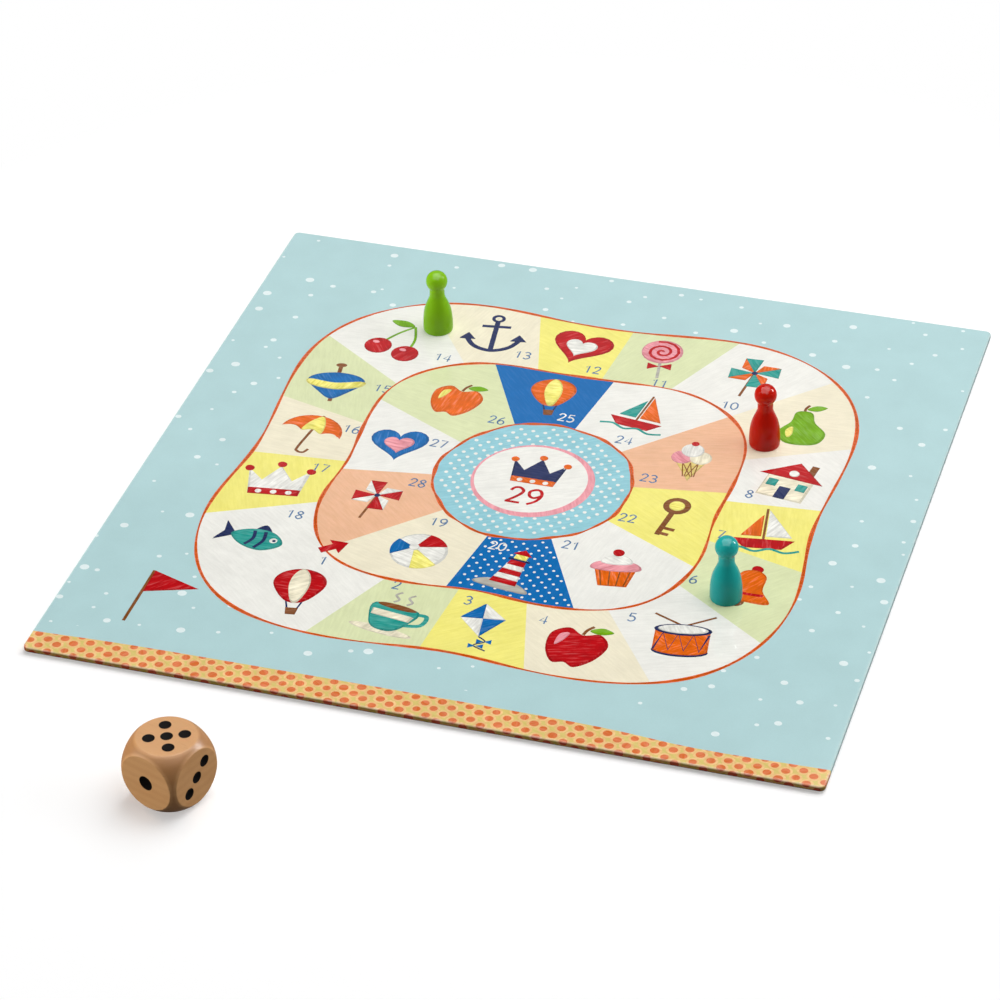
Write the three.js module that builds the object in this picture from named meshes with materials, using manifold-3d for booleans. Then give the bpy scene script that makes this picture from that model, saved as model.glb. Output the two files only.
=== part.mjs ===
// A race game laid out for play: a paper-wrapped board, turned pawns standing on it and a wooden die.
// Millimetres, +Z up. The origin lies on the table under the middle of the board, and the board's
// front edge faces -Y. The die lies on the table in front of that edge.

import * as THREE from 'three';
import { mergeVertices } from 'three/addons/utils/BufferGeometryUtils.js';
import Module from 'manifold-3d';

// Board: a greyboard core inside a printed paper wrap, with a lining sheet underneath
const BOARD_SIDE = 280;
const BOARD_CORNER_RADIUS = 2;
const CORE_THICKNESS = 1.6;
const CORE_CLEARANCE = 0.3;
const WRAP_THICKNESS = 0.25;
const WRAP_BEND_RADIUS = 0.6;
const TURN_IN_WIDTH = 15;
const MITRE_GAP = 0.4;
const LINING_THICKNESS = 0.25;
const LINING_INSET = 4;
const GLUE_FILM = 0.05;
const CORNER_STEPS = 5;
const BEND_STEPS = 2;

// Pawns: one turned skittle profile, from the foot up
const PAWN_HEIGHT = 25.6;
const PAWN_FOOT_RADIUS = 5.1;
const PAWN_BELLY_RADIUS = 5.7;
const PAWN_BELLY_HEIGHT = 2.8;
const PAWN_FOOT_ROUND = 0.7;
const PAWN_SHOULDER_RISE = 8.4;
const PAWN_NECK_RADIUS = 2.85;
const PAWN_NECK_HEIGHT = 15.6;
const PAWN_NECK_SWEEP = 3;
const PAWN_HEAD_RADIUS = 4.1;
const PAWN_NECK_FILLET = 0.5;
const PAWN_CURVE_STEPS = 5;
const PAWN_SIDES = 28;

// Where each pawn stands on the playing face, and its lacquer
const PAWNS = [
  { name: 'pawn_green', x: -63.5, y: 87, colour: 0x7bb010 },
  { name: 'pawn_red', x: 74.8, y: 44.6, colour: 0xc41f0c },
  { name: 'pawn_turquoise', x: 84.2, y: -49.4, colour: 0x1f9a96 },
];

// Die: a cube whose corners and edges are turned off by a ball, with shallow drilled pips
const DIE_EDGE = 23.4;
const DIE_BALL_RADIUS = 15.5;
const DIE_BALL_DETAIL = 11;
const PIP_RADIUS = 2.1;
const LONE_PIP_RADIUS = 2.7;
const PIP_DEPTH = 0.45;
const PIP_OFFSET = 4.15;
const PIP_SIDES = 12;
const DIE_X = -64.1;
const DIE_FROM_BOARD = 55.9;
const DIE_YAW_DEGREES = -19.2;

// Each face's outward direction, the direction its pip columns run across, and its number of pips
const DIE_FACES = [
  { out: [0, 0, 1], across: [1, 0, 0], pips: 5 },
  { out: [0, 0, -1], across: [1, 0, 0], pips: 2 },
  { out: [0, -1, 0], across: [1, 0, 0], pips: 1 },
  { out: [0, 1, 0], across: [1, 0, 0], pips: 6 },
  { out: [1, 0, 0], across: [0, 1, 0], pips: 3 },
  { out: [-1, 0, 0], across: [0, 1, 0], pips: 4 },
];

// Heights of the board's layers above the table
const TURN_IN_BOTTOM = LINING_THICKNESS + GLUE_FILM;
const HOLLOW_BOTTOM = TURN_IN_BOTTOM + WRAP_THICKNESS;
const HOLLOW_HEIGHT = CORE_THICKNESS + 2 * GLUE_FILM;
const PLAYING_FACE = HOLLOW_BOTTOM + HOLLOW_HEIGHT + WRAP_THICKNESS;

const wasm = await Module();
wasm.setup();

// A closed geometry as a solid that can be joined and cut
function toSolid(geometry) {
  const bare = geometry.clone();
  bare.deleteAttribute('normal');
  bare.deleteAttribute('uv');
  const merged = mergeVertices(bare);
  const mesh = new wasm.Mesh({
    numProp: 3,
    vertProperties: new Float32Array(merged.attributes.position.array),
    triVerts: new Uint32Array(merged.index.array),
  });
  return new wasm.Manifold(mesh);
}

// A cut or joined solid back as a geometry with flat-shaded faces
function toGeometry(solid) {
  const mesh = solid.getMesh();
  const geometry = new THREE.BufferGeometry();
  geometry.setAttribute('position', new THREE.BufferAttribute(mesh.vertProperties, 3));
  geometry.setIndex(new THREE.BufferAttribute(mesh.triVerts, 1));
  geometry.computeVertexNormals();
  return geometry;
}

function namedMesh(name, geometry, colour, roughness) {
  const material = new THREE.MeshStandardMaterial({ color: colour, roughness, metalness: 0 });
  const mesh = new THREE.Mesh(geometry, material);
  mesh.name = name;
  return mesh;
}

// A square outline with round corners, centred on the axis
function roundedSquare(side, radius) {
  const inset = side / 2 - radius;
  const shape = new THREE.Shape();
  shape.absarc(inset, inset, radius, 0, Math.PI / 2);
  shape.absarc(-inset, inset, radius, Math.PI / 2, Math.PI);
  shape.absarc(-inset, -inset, radius, Math.PI, 1.5 * Math.PI);
  shape.absarc(inset, -inset, radius, 1.5 * Math.PI, 2 * Math.PI);
  return shape;
}

// A flat square slab standing on the given height, with its long edges rounded over
function slab(side, thickness, cornerRadius, edgeRadius, bottom) {
  const geometry = new THREE.ExtrudeGeometry(roundedSquare(side, cornerRadius), {
    depth: thickness - 2 * edgeRadius,
    curveSegments: CORNER_STEPS,
    bevelEnabled: edgeRadius > 0,
    bevelThickness: edgeRadius,
    bevelSize: edgeRadius,
    bevelOffset: -edgeRadius,
    bevelSegments: BEND_STEPS,
  });
  geometry.translate(0, 0, bottom + edgeRadius);
  return geometry;
}

// The wrap covers the top and the edges and turns in underneath, where its flaps meet in mitres
function coverSheet() {
  const hollowSide = BOARD_SIDE - 2 * WRAP_THICKNESS;
  const hollowRadius = BOARD_CORNER_RADIUS - WRAP_THICKNESS;
  const innerBend = WRAP_BEND_RADIUS - WRAP_THICKNESS;
  const height = PLAYING_FACE - TURN_IN_BOTTOM;
  const outer = slab(BOARD_SIDE, height, BOARD_CORNER_RADIUS, WRAP_BEND_RADIUS, TURN_IN_BOTTOM);
  const hollow = slab(hollowSide, HOLLOW_HEIGHT, hollowRadius, innerBend, HOLLOW_BOTTOM);
  const windowSide = BOARD_SIDE - 2 * TURN_IN_WIDTH;
  const cutDepth = 3 * WRAP_THICKNESS;
  const cutMiddle = TURN_IN_BOTTOM + WRAP_THICKNESS / 2;
  const opening = new THREE.BoxGeometry(windowSide, windowSide, cutDepth);
  opening.translate(0, 0, cutMiddle);
  let sheet = toSolid(outer).subtract(toSolid(hollow)).subtract(toSolid(opening));
  const hollowCorner = Math.SQRT2 * (hollowSide / 2 - hollowRadius) + hollowRadius - innerBend;
  for (const quarter of [-45, 45]) {
    const slit = new THREE.BoxGeometry(2 * hollowCorner, MITRE_GAP, cutDepth);
    slit.rotateZ(THREE.MathUtils.degToRad(quarter));
    slit.translate(0, 0, cutMiddle);
    sheet = sheet.subtract(toSolid(slit));
  }
  return toGeometry(sheet);
}

// The core fills the wrap's hollow, short of it by the clearance at the edges and the glue films
function boardCore() {
  const gap = WRAP_THICKNESS + CORE_CLEARANCE;
  const innerBend = WRAP_BEND_RADIUS - WRAP_THICKNESS;
  const bottom = HOLLOW_BOTTOM + GLUE_FILM;
  return slab(BOARD_SIDE - 2 * gap, CORE_THICKNESS, BOARD_CORNER_RADIUS - gap, innerBend, bottom);
}

// The lining hides the raw edges of the turned-in flaps and is the face that the board lies on
function backLining() {
  return slab(BOARD_SIDE - 2 * LINING_INSET, LINING_THICKNESS, BOARD_CORNER_RADIUS, 0, 0);
}

// Foot, swelling belly, drawn-in neck and ball head, from the middle of the foot to the crown
function pawnProfile() {
  const headHeight = PAWN_HEIGHT - PAWN_HEAD_RADIUS;
  const collarRadius = PAWN_NECK_RADIUS + PAWN_NECK_FILLET;
  const collarAngle = -Math.acos(collarRadius / PAWN_HEAD_RADIUS);
  const collarHeight = headHeight + PAWN_HEAD_RADIUS * Math.sin(collarAngle);
  const path = new THREE.Path();
  path.moveTo(0, 0);
  path.lineTo(PAWN_FOOT_RADIUS, 0);
  path.bezierCurveTo(
    PAWN_BELLY_RADIUS, 0,
    PAWN_BELLY_RADIUS, PAWN_FOOT_ROUND,
    PAWN_BELLY_RADIUS, PAWN_BELLY_HEIGHT,
  );
  path.bezierCurveTo(
    PAWN_BELLY_RADIUS, PAWN_BELLY_HEIGHT + PAWN_SHOULDER_RISE,
    collarRadius, PAWN_NECK_HEIGHT - PAWN_NECK_SWEEP,
    PAWN_NECK_RADIUS, PAWN_NECK_HEIGHT,
  );
  path.quadraticCurveTo(PAWN_NECK_RADIUS, collarHeight - PAWN_NECK_FILLET, collarRadius, collarHeight);
  path.absarc(0, headHeight, PAWN_HEAD_RADIUS, collarAngle, Math.PI / 2);
  const points = path.getPoints(PAWN_CURVE_STEPS);
  points.at(-1).x = 0;
  return points;
}

function pawnGeometry() {
  const geometry = new THREE.LatheGeometry(pawnProfile(), PAWN_SIDES);
  geometry.rotateX(Math.PI / 2);
  return geometry;
}

// The spots of one die face: the middle for odd counts, then the two diagonals, then the middle row
function pipSpots(count) {
  const d = PIP_OFFSET;
  const spots = [];
  if (count % 2 === 1) spots.push([0, 0]);
  if (count >= 2) spots.push([d, d], [-d, -d]);
  if (count >= 4) spots.push([d, -d], [-d, d]);
  if (count === 6) spots.push([0, d], [0, -d]);
  return spots;
}

// A short drill that sinks one pip into a face, in the face's own directions; a lone pip is larger
function pipDrill(face, across, along) {
  const out = new THREE.Vector3(...face.out);
  const right = new THREE.Vector3(...face.across);
  const up = new THREE.Vector3().crossVectors(out, right);
  const radius = face.pips === 1 ? LONE_PIP_RADIUS : PIP_RADIUS;
  const drill = new THREE.CylinderGeometry(radius, radius, 2 * PIP_DEPTH, PIP_SIDES);
  drill.rotateX(Math.PI / 2);
  drill.translate(across, along, DIE_EDGE / 2);
  drill.applyMatrix4(new THREE.Matrix4().makeBasis(right, up, out));
  return drill;
}

function dieGeometry() {
  const cube = new THREE.BoxGeometry(DIE_EDGE, DIE_EDGE, DIE_EDGE);
  const ball = new THREE.IcosahedronGeometry(DIE_BALL_RADIUS, DIE_BALL_DETAIL);
  let die = toSolid(cube).intersect(toSolid(ball));
  for (const face of DIE_FACES) {
    for (const [across, along] of pipSpots(face.pips)) {
      die = die.subtract(toSolid(pipDrill(face, across, along)));
    }
  }
  return toGeometry(die);
}

const set = new THREE.Group();
set.add(namedMesh('board_core', boardCore(), 0x8f887b, 0.95));
set.add(namedMesh('cover_sheet', coverSheet(), 0xb5d6d8, 0.3));
set.add(namedMesh('back_lining', backLining(), 0xe9e4d2, 0.85));

for (const { name, x, y, colour } of PAWNS) {
  const pawn = namedMesh(name, pawnGeometry(), colour, 0.15);
  pawn.position.set(x, y, PLAYING_FACE);
  set.add(pawn);
}

const die = namedMesh('die', dieGeometry(), 0xc9955f, 0.45);
die.position.set(DIE_X, -BOARD_SIDE / 2 - DIE_FROM_BOARD, DIE_EDGE / 2);
die.rotation.z = THREE.MathUtils.degToRad(DIE_YAW_DEGREES);
set.add(die);

export default set;
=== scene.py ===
"""Dress a race game laid out for play: a paper-wrapped board, three lacquered pawns and a beech die.

Sizes in the class fields are millimetres, and MM turns them into metres. Every mesh is built where it
stands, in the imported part's frame: +Z up, origin on the table under the middle of the board, front
edge of the board towards -Y.
"""

import logging
import math
from collections.abc import Callable, Sequence
from dataclasses import dataclass, field, replace
from enum import Enum

import bpy
import numpy as np
from mathutils import Matrix, Vector
from mathutils.geometry import delaunay_2d_cdt


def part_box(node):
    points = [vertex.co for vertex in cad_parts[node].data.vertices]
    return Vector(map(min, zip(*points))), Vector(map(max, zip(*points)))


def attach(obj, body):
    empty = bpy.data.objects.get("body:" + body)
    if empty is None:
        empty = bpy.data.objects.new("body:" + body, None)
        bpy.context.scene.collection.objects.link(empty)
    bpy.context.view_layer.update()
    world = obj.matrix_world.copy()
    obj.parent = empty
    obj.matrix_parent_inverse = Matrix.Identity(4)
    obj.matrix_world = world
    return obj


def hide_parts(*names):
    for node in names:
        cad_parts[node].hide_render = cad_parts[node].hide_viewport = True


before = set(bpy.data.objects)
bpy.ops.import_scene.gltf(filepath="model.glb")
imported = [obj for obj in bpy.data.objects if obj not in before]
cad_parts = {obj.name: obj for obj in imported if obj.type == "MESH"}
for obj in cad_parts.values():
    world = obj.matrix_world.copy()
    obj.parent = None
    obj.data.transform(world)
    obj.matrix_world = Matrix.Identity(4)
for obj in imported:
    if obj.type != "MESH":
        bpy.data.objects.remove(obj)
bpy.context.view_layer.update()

LOG = logging.getLogger("race_game")
MM = 0.001
SEED = 20
TURN = 2 * math.pi
Point = tuple[float, float]
Span = tuple[float, float]
Socket = bpy.types.NodeSocket


# Small tools shared by the pieces


def linear(hex_colour: str) -> tuple[float, float, float, float]:
    """Turn an sRGB hex colour into linear RGBA.

    Args:
        hex_colour: colour such as "#F1F0EC"
    Returns:
        Linear red, green and blue, and an alpha of 1
    """
    channels = np.array([int(hex_colour[i : i + 2], 16) for i in (1, 3, 5)]) / 255
    curved = np.where(channels > 0.04045, ((channels + 0.055) / 1.055) ** 2.4, channels / 12.92)
    return (*(float(c) for c in curved), 1.0)


def feed(tree: bpy.types.NodeTree, node: bpy.types.Node, inputs: dict) -> None:
    """Feed a node's sockets, by name or number, with a value or a link from an output socket.

    Args:
        tree: node tree that holds the node
        node: node to feed
        inputs: socket name or number to a value, or to the output socket that is linked into it
    """
    for socket, value in inputs.items():
        if isinstance(value, Socket):
            tree.links.new(value, node.inputs[socket])
        else:
            node.inputs[socket].default_value = value


def add_node(
    tree: bpy.types.NodeTree, kind: str, inputs: dict | None = None, **settings: object
) -> bpy.types.Node:
    """Add one shader node, set its properties and feed its sockets.

    Args:
        tree: node tree that takes the node
        kind: node type without its ShaderNode prefix
        inputs: what its sockets are fed with
        settings: properties of the node
    Returns:
        The new node
    """
    node = tree.nodes.new("ShaderNode" + kind)
    for name, value in settings.items():
        setattr(node, name, value)
    feed(tree, node, inputs or {})
    return node


def box_mm(node: str) -> tuple[np.ndarray, np.ndarray]:
    """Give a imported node's lowest and highest corners in millimetres."""
    low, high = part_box(node)
    return np.array(low) / MM, np.array(high) / MM


def make_piece(
    name: str,
    vertices: np.ndarray,
    faces: Sequence[np.ndarray],
    material: bpy.types.Material,
    normals: np.ndarray | None = None,
) -> bpy.types.Object:
    """Put a surface worked out in millimetres into a smooth-shaded mesh object at the origin.

    Args:
        name: name of the piece
        vertices: n by 3 places in millimetres
        faces: arrays of vertex numbers, one array for each count of corners
        material: finish of the whole piece
        normals: one direction for each face corner, or None for the mesh's own
    Returns:
        The linked object
    """
    mesh = bpy.data.meshes.new(name)
    corners = [corner for block in faces for corner in block.tolist()]
    mesh.from_pydata((vertices * MM).tolist(), [], corners)
    mesh.polygons.foreach_set("use_smooth", np.ones(len(mesh.polygons), bool))
    if normals is not None:
        mesh.normals_split_custom_set(normals.tolist())
    mesh.materials.append(material)
    piece = bpy.data.objects.new(name, mesh)
    bpy.context.scene.collection.objects.link(piece)
    return piece


def settle(piece: bpy.types.Object, node: str, body: str) -> None:
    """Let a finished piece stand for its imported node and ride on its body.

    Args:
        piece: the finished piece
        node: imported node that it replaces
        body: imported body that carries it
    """
    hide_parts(node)
    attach(piece, body)
    LOG.info("%s: %d faces, rides on %s", piece.name, len(piece.data.polygons), body)


def cubic(start: Point, pull: Point, push: Point, end: Point, steps: int) -> np.ndarray:
    """Sample a cubic curve from four points, weighted by the four terms of (1 - t + t) cubed.

    Args:
        start: first point
        pull: point that the curve leaves towards
        push: point that the curve arrives from
        end: last point
        steps: number of stretches
    Returns:
        steps + 1 points
    """
    t = np.linspace(0, 1, steps + 1)[:, None]
    weights = np.hstack([(1 - t) ** 3, 3 * t * (1 - t) ** 2, 3 * t**2 * (1 - t), t**3])
    return weights @ np.array([start, pull, push, end], float)


def smooth_path(points: Sequence[Point], closed: bool, steps: int = 5) -> np.ndarray:
    """Run a smooth curve through given points, leaving each along the line between its neighbours.

    Args:
        points: points on the curve
        closed: whether the curve joins up with itself
        steps: stretches between two points
    Returns:
        Points along the curve, without a repeated last point if it is closed
    """
    p = np.array(points, float)
    before, after = np.roll(p, 1, 0), np.roll(p, -1, 0)
    later = np.roll(p, -2, 0)
    if not closed:
        before[0], after[-1] = p[0], p[-1]
        later[-2:] = p[-1]
    t = (np.arange(steps) / steps)[:, None, None]
    curve = 0.5 * (
        2 * p
        + (after - before) * t
        + (2 * before - 5 * p + 4 * after - later) * t**2
        + (3 * p - before - 3 * after + later) * t**3
    )
    path = curve.transpose(1, 0, 2).reshape(-1, 2)
    return path if closed else np.vstack([path[: steps * (len(p) - 1)], p[-1:]])


def round_outline(x: float, y: float, rx: float, ry: float, steps: int = 20) -> np.ndarray:
    """Give an ellipse: its middle plus the radii times the cosine and sine of the angle."""
    angle = np.arange(steps) / steps * TURN
    return np.stack([x + rx * np.cos(angle), y + ry * np.sin(angle)], -1)


def wound_around(points: np.ndarray, outline: np.ndarray) -> np.ndarray:
    """Tell which points a closed outline winds around: its upward crossings to the right of a point, less
    its downward ones, are not zero there.

    Args:
        points: m by 2 points
        outline: n by 2 corners of the outline
    Returns:
        m flags
    """
    a, b = outline, np.roll(outline, -1, 0)
    px, py = points[:, :1], points[:, 1:]
    side = (b[:, 0] - a[:, 0]) * (py - a[:, 1]) - (px - a[:, 0]) * (b[:, 1] - a[:, 1])
    up = (a[:, 1] <= py) & (b[:, 1] > py) & (side > 0)
    down = (a[:, 1] > py) & (b[:, 1] <= py) & (side < 0)
    return up.sum(1) != down.sum(1)


# Finishes


@dataclass(frozen=True)
class Weave:
    """The nodes of one material, with a short way to each kind that the finishes share."""

    tree: bpy.types.NodeTree
    shader: bpy.types.Node
    band_unit: float = 0.314
    noise_spread: Span = (0.3, 0.7)

    def place(self) -> Socket:
        """Give the surface's place in millimetres, so that a pattern's scale is one over its size."""
        return self.stretched(add_node(self.tree, "TexCoord").outputs["Object"], (1 / MM,) * 3)

    def stretched(self, place: Socket, scale: tuple[float, float, float]) -> Socket:
        """Scale a place along the three axes."""
        return add_node(self.tree, "Mapping", {"Vector": place, "Scale": scale}).outputs[0]

    def mark(self, name: str) -> Socket:
        """Give a number that is stored on the mesh."""
        return add_node(self.tree, "Attribute", attribute_name=name).outputs["Fac"]

    def noise(self, place: Socket, size: float, detail: float = 3.0, bend: float = 0.0) -> Socket:
        """Give soft random clouds of about one size in millimetres."""
        sockets = {"Vector": place, "Scale": 1 / size, "Detail": detail, "Distortion": bend}
        return add_node(self.tree, "TexNoise", sockets).outputs[0]

    def bands(self, place: Socket, size: float, bend: float, detail: float) -> Socket:
        """Give wavy bands across the Z axis, one to each size in millimetres."""
        sockets = {"Vector": place, "Scale": self.band_unit / size, "Distortion": bend, "Detail": detail}
        return add_node(self.tree, "TexWave", sockets, bands_direction="Z").outputs[1]

    def between(self, value: Socket, low: float, high: float, out: tuple) -> Socket:
        """Stretch the part of a value between low and high over the out range, and hold it beyond."""
        sockets = {0: value, 1: low, 2: high, 3: out[0], 4: out[1]}
        return add_node(self.tree, "MapRange", sockets).outputs[0]

    def spread(self, noise: Socket, out: tuple) -> Socket:
        """Stretch the values that noise mostly takes over the out range."""
        return self.between(noise, *self.noise_spread, out)

    def share(self, value: Socket, out: tuple) -> Socket:
        """Go from the first of the out range to the second as a value goes from 0 to 1."""
        return self.between(value, 0.0, 1.0, out)

    def times(self, first: Socket, second: Socket) -> Socket:
        """Multiply two numbers."""
        return add_node(self.tree, "Math", {0: first, 1: second}, operation="MULTIPLY").outputs[0]

    def vector(self, operation: str, first: Socket, second: Socket | tuple) -> Socket:
        """Work on two vectors, giving a vector, or a number for their distance."""
        node = add_node(self.tree, "VectorMath", {0: first, 1: second}, operation=operation)
        return node.outputs["Value" if operation == "DISTANCE" else "Vector"]

    def mix(self, share: Socket, first: Socket | str, second: Socket | str) -> Socket:
        """Mix two colours, given as sockets or in hex, by the second one's share."""
        a, b = (linear(c) if isinstance(c, str) else c for c in (first, second))
        return add_node(self.tree, "MixRGB", {"Fac": share, "Color1": a, "Color2": b}).outputs[0]

    def tinted(self, colour: Socket | tuple, value: Socket, saturation: Socket | float = 1.0) -> Socket:
        """Change a colour's value and saturation."""
        sockets = {"Color": colour, "Saturation": saturation, "Value": value}
        return add_node(self.tree, "HueSaturation", sockets).outputs[0]

    def bump(self, height: Socket, strength: float, depth: float, under: Socket | None = None) -> Socket:
        """Dent the surface by a height.

        Args:
            height: pattern that dents it
            strength: how much of the dent shows
            depth: depth of the dent in millimetres
            under: bump that this one lies over, or None
        Returns:
            The dented direction
        """
        sockets = {"Height": height, "Strength": strength, "Distance": depth * MM}
        if under is not None:
            sockets["Normal"] = under
        return add_node(self.tree, "Bump", sockets).outputs[0]

    def finish(self, sockets: dict) -> None:
        """Feed the shader."""
        feed(self.tree, self.shader, sockets)


@dataclass(frozen=True)
class Finish:
    """A surface finish that makes one material, once."""

    name: str

    def material(self) -> bpy.types.Material:
        """Make the material, or give the one already made.

        Returns:
            The finished material
        """
        made = bpy.data.materials.get(self.name)
        if made is None:
            made = bpy.data.materials.new(self.name)
            made.use_nodes = True
            made.node_tree.nodes.clear()
            shader = add_node(made.node_tree, "BsdfPrincipled")
            add_node(made.node_tree, "OutputMaterial", {"Surface": shader.outputs[0]})
            self.dress(Weave(made.node_tree, shader))
        return made

    def dress(self, weave: Weave) -> None:
        """Set the shader's sockets and build the nodes that feed them."""
        raise NotImplementedError


@dataclass(frozen=True)
class LaminatedPrint(Finish):
    """Offset print of hand-brushed pictures on paper under a gloss film: flat tints, patches of colour whose
    strokes run each its own way, a mirror-like but slightly wavy film, and a whitening along the folded edge
    that is partly ink rubbed thin and partly a painted highlight line."""

    name: str = "printed_paper_gloss_laminated"
    wash: float = 14.0
    wash_value: Span = (0.975, 1.025)
    stroke_length: float = 6.0
    stroke_width: float = 0.8
    stroke_value: Span = (0.8, 1.16)
    stroke_saturation: Span = (1.15, 0.9)
    pool: float = 4.5
    pool_value: Span = (0.88, 1.1)
    tooth: float = 0.6
    tooth_value: Span = (0.985, 1.015)
    wave: float = 30.0
    film_roughness: Span = (0.07, 0.11)
    rub: float = 2.5
    rub_share: Span = (0.05, 0.4)

    def dress(self, weave: Weave) -> None:
        """Brush the sheet's inks, whiten them along the fold as rubbed ink and a painted highlight line, and
        lay the film over them.

        Args:
            weave: the material being built
        """
        place = weave.place()
        ink = add_node(weave.tree, "Attribute", attribute_name="ink").outputs["Color"]
        load = weave.mark("load")
        sockets = {"Vector": place, "Angle": weave.mark("stroke")}
        turned = add_node(weave.tree, "VectorRotate", sockets, rotation_type="Z_AXIS").outputs[0]
        drawn = weave.stretched(turned, (1 / self.stroke_length, 1 / self.stroke_width, 1.0))
        hairs = weave.noise(drawn, 1.0, 4.0)
        pool = weave.spread(weave.noise(place, self.pool), self.pool_value)
        brushed = weave.times(weave.spread(hairs, self.stroke_value), pool)
        wash = weave.spread(weave.noise(place, self.wash), self.wash_value)
        tooth = weave.spread(weave.noise(place, self.tooth), self.tooth_value)
        strength = weave.times(weave.times(wash, tooth), weave.share(load, (1.0, brushed)))
        full = weave.share(load, (1.0, weave.spread(hairs, self.stroke_saturation)))
        # ink rubbed thin along the fold and a painted highlight line there: the fold mark whitens the print
        worn_and_sheen = weave.between(weave.noise(place, self.rub), 0.35, 0.65, self.rub_share)
        rubbed_and_sheen = weave.times(weave.mark("fold"), worn_and_sheen)
        wave = weave.noise(place, self.wave)
        weave.finish(
            {
                "Base Color": weave.mix(rubbed_and_sheen, weave.tinted(ink, strength, full), Ink.WHITE.value),
                "Roughness": weave.spread(wave, self.film_roughness),
                "Normal": weave.bump(wave, 0.05, 1.0),
                "IOR": 1.6,
            }
        )


@dataclass(frozen=True)
class Greyboard(Finish):
    """Pressed waste-paper board: warm grey, with pale and dark fibres pressed flat into it."""

    name: str = "greyboard_pressed"
    pulp: float = 5.0
    fibre: float = 0.7
    fibre_share: Span = (0.0, 0.5)

    def dress(self, weave: Weave) -> None:
        """Mix two greys by clumps of pulp and strew fibres over them.

        Args:
            weave: the material being built
        """
        place = weave.place()
        fibre = weave.noise(place, self.fibre, 2.0, 2.0)
        base = weave.mix(weave.noise(place, self.pulp, 5.0), "#7E776A", "#A39B8C")
        fleck = weave.between(fibre, 0.62, 0.7, self.fibre_share)
        colour = weave.mix(fleck, base, "#55524C")
        weave.finish({"Base Color": colour, "Normal": weave.bump(fibre, 0.3, 0.1), "Roughness": 0.92})


@dataclass(frozen=True)
class LiningPaper(Finish):
    """Uncoated lining paper printed with small white dots in offset rows on the board's own pale blue."""

    name: str = "lining_paper_uncoated"
    pitch: float = 12.0
    dot: float = 1.3
    dot_blur: float = 0.1
    fibre: float = 1.1
    fibre_value: Span = (0.94, 1.04)

    def dress(self, weave: Weave) -> None:
        """Print a dot in each cell of two offset square lattices and roughen the paper.

        Args:
            weave: the material being built
        """
        place = weave.place()
        reach = []
        for shift in (0.0, self.pitch / 2):
            moved = weave.vector("ADD", place, (shift, shift, 0.0))
            cell = weave.vector("SNAP", moved, (self.pitch, self.pitch, 1e6))
            middle = weave.vector("ADD", cell, (self.pitch / 2, self.pitch / 2, 0.0))
            flat = weave.vector("MULTIPLY", moved, (1.0, 1.0, 0.0))
            reach.append(weave.vector("DISTANCE", flat, middle))
        nearest = add_node(weave.tree, "Math", dict(enumerate(reach)), operation="MINIMUM").outputs[0]
        dotted = weave.between(nearest, self.dot - self.dot_blur, self.dot + self.dot_blur, (1.0, 0.0))
        fibre = weave.noise(place, self.fibre, 4.0)
        colour = weave.tinted(weave.mix(dotted, "#AFCFD2", "#EDF1EF"), weave.spread(fibre, self.fibre_value))
        weave.finish({"Base Color": colour, "Normal": weave.bump(fibre, 0.2, 0.05), "Roughness": 0.8})


@dataclass(frozen=True)
class GlossLacquer(Finish):
    """Pigmented gloss lacquer dipped over turned wood: clear colour with painted shade that darkens it
    towards the foot, a wet-looking skin, and the lathe's fine rings and a faint orange peel just telling
    through it."""

    name: str
    colour: str
    cloud: float = 6.0
    cloud_value: Span = (0.95, 1.05)
    ring: float = 0.8
    peel: float = 1.6
    drained: Span = (3.0, 27.0)
    drained_value: Span = (0.76, 1.1)

    def dress(self, weave: Weave) -> None:
        """Tint the pigment by slow clouds, darken it towards the foot with painted shade, and lay rings and
        peel under the clear skin.

        Args:
            weave: the material being built
        """
        place = weave.place()
        cloud = weave.spread(weave.noise(place, self.cloud, 2.0), self.cloud_value)
        rise = add_node(weave.tree, "SeparateXYZ", {0: place}).outputs[2]
        # painted shade: the pigment darkens towards the foot by height
        depth = weave.times(cloud, weave.between(rise, *self.drained, self.drained_value))
        rings = weave.bump(weave.bands(place, self.ring, 1.5, 1.0), 0.06, 0.05)
        weave.finish(
            {
                "Base Color": weave.tinted(linear(self.colour), depth),
                "Normal": weave.bump(weave.noise(place, self.peel, 1.0), 0.12, 0.05, rings),
                "Roughness": 0.3,
                "Specular IOR Level": 0.0,
                "Coat Weight": 1.0,
                "Coat Roughness": 0.11,
                "Coat IOR": 1.28,
            }
        )


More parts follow.
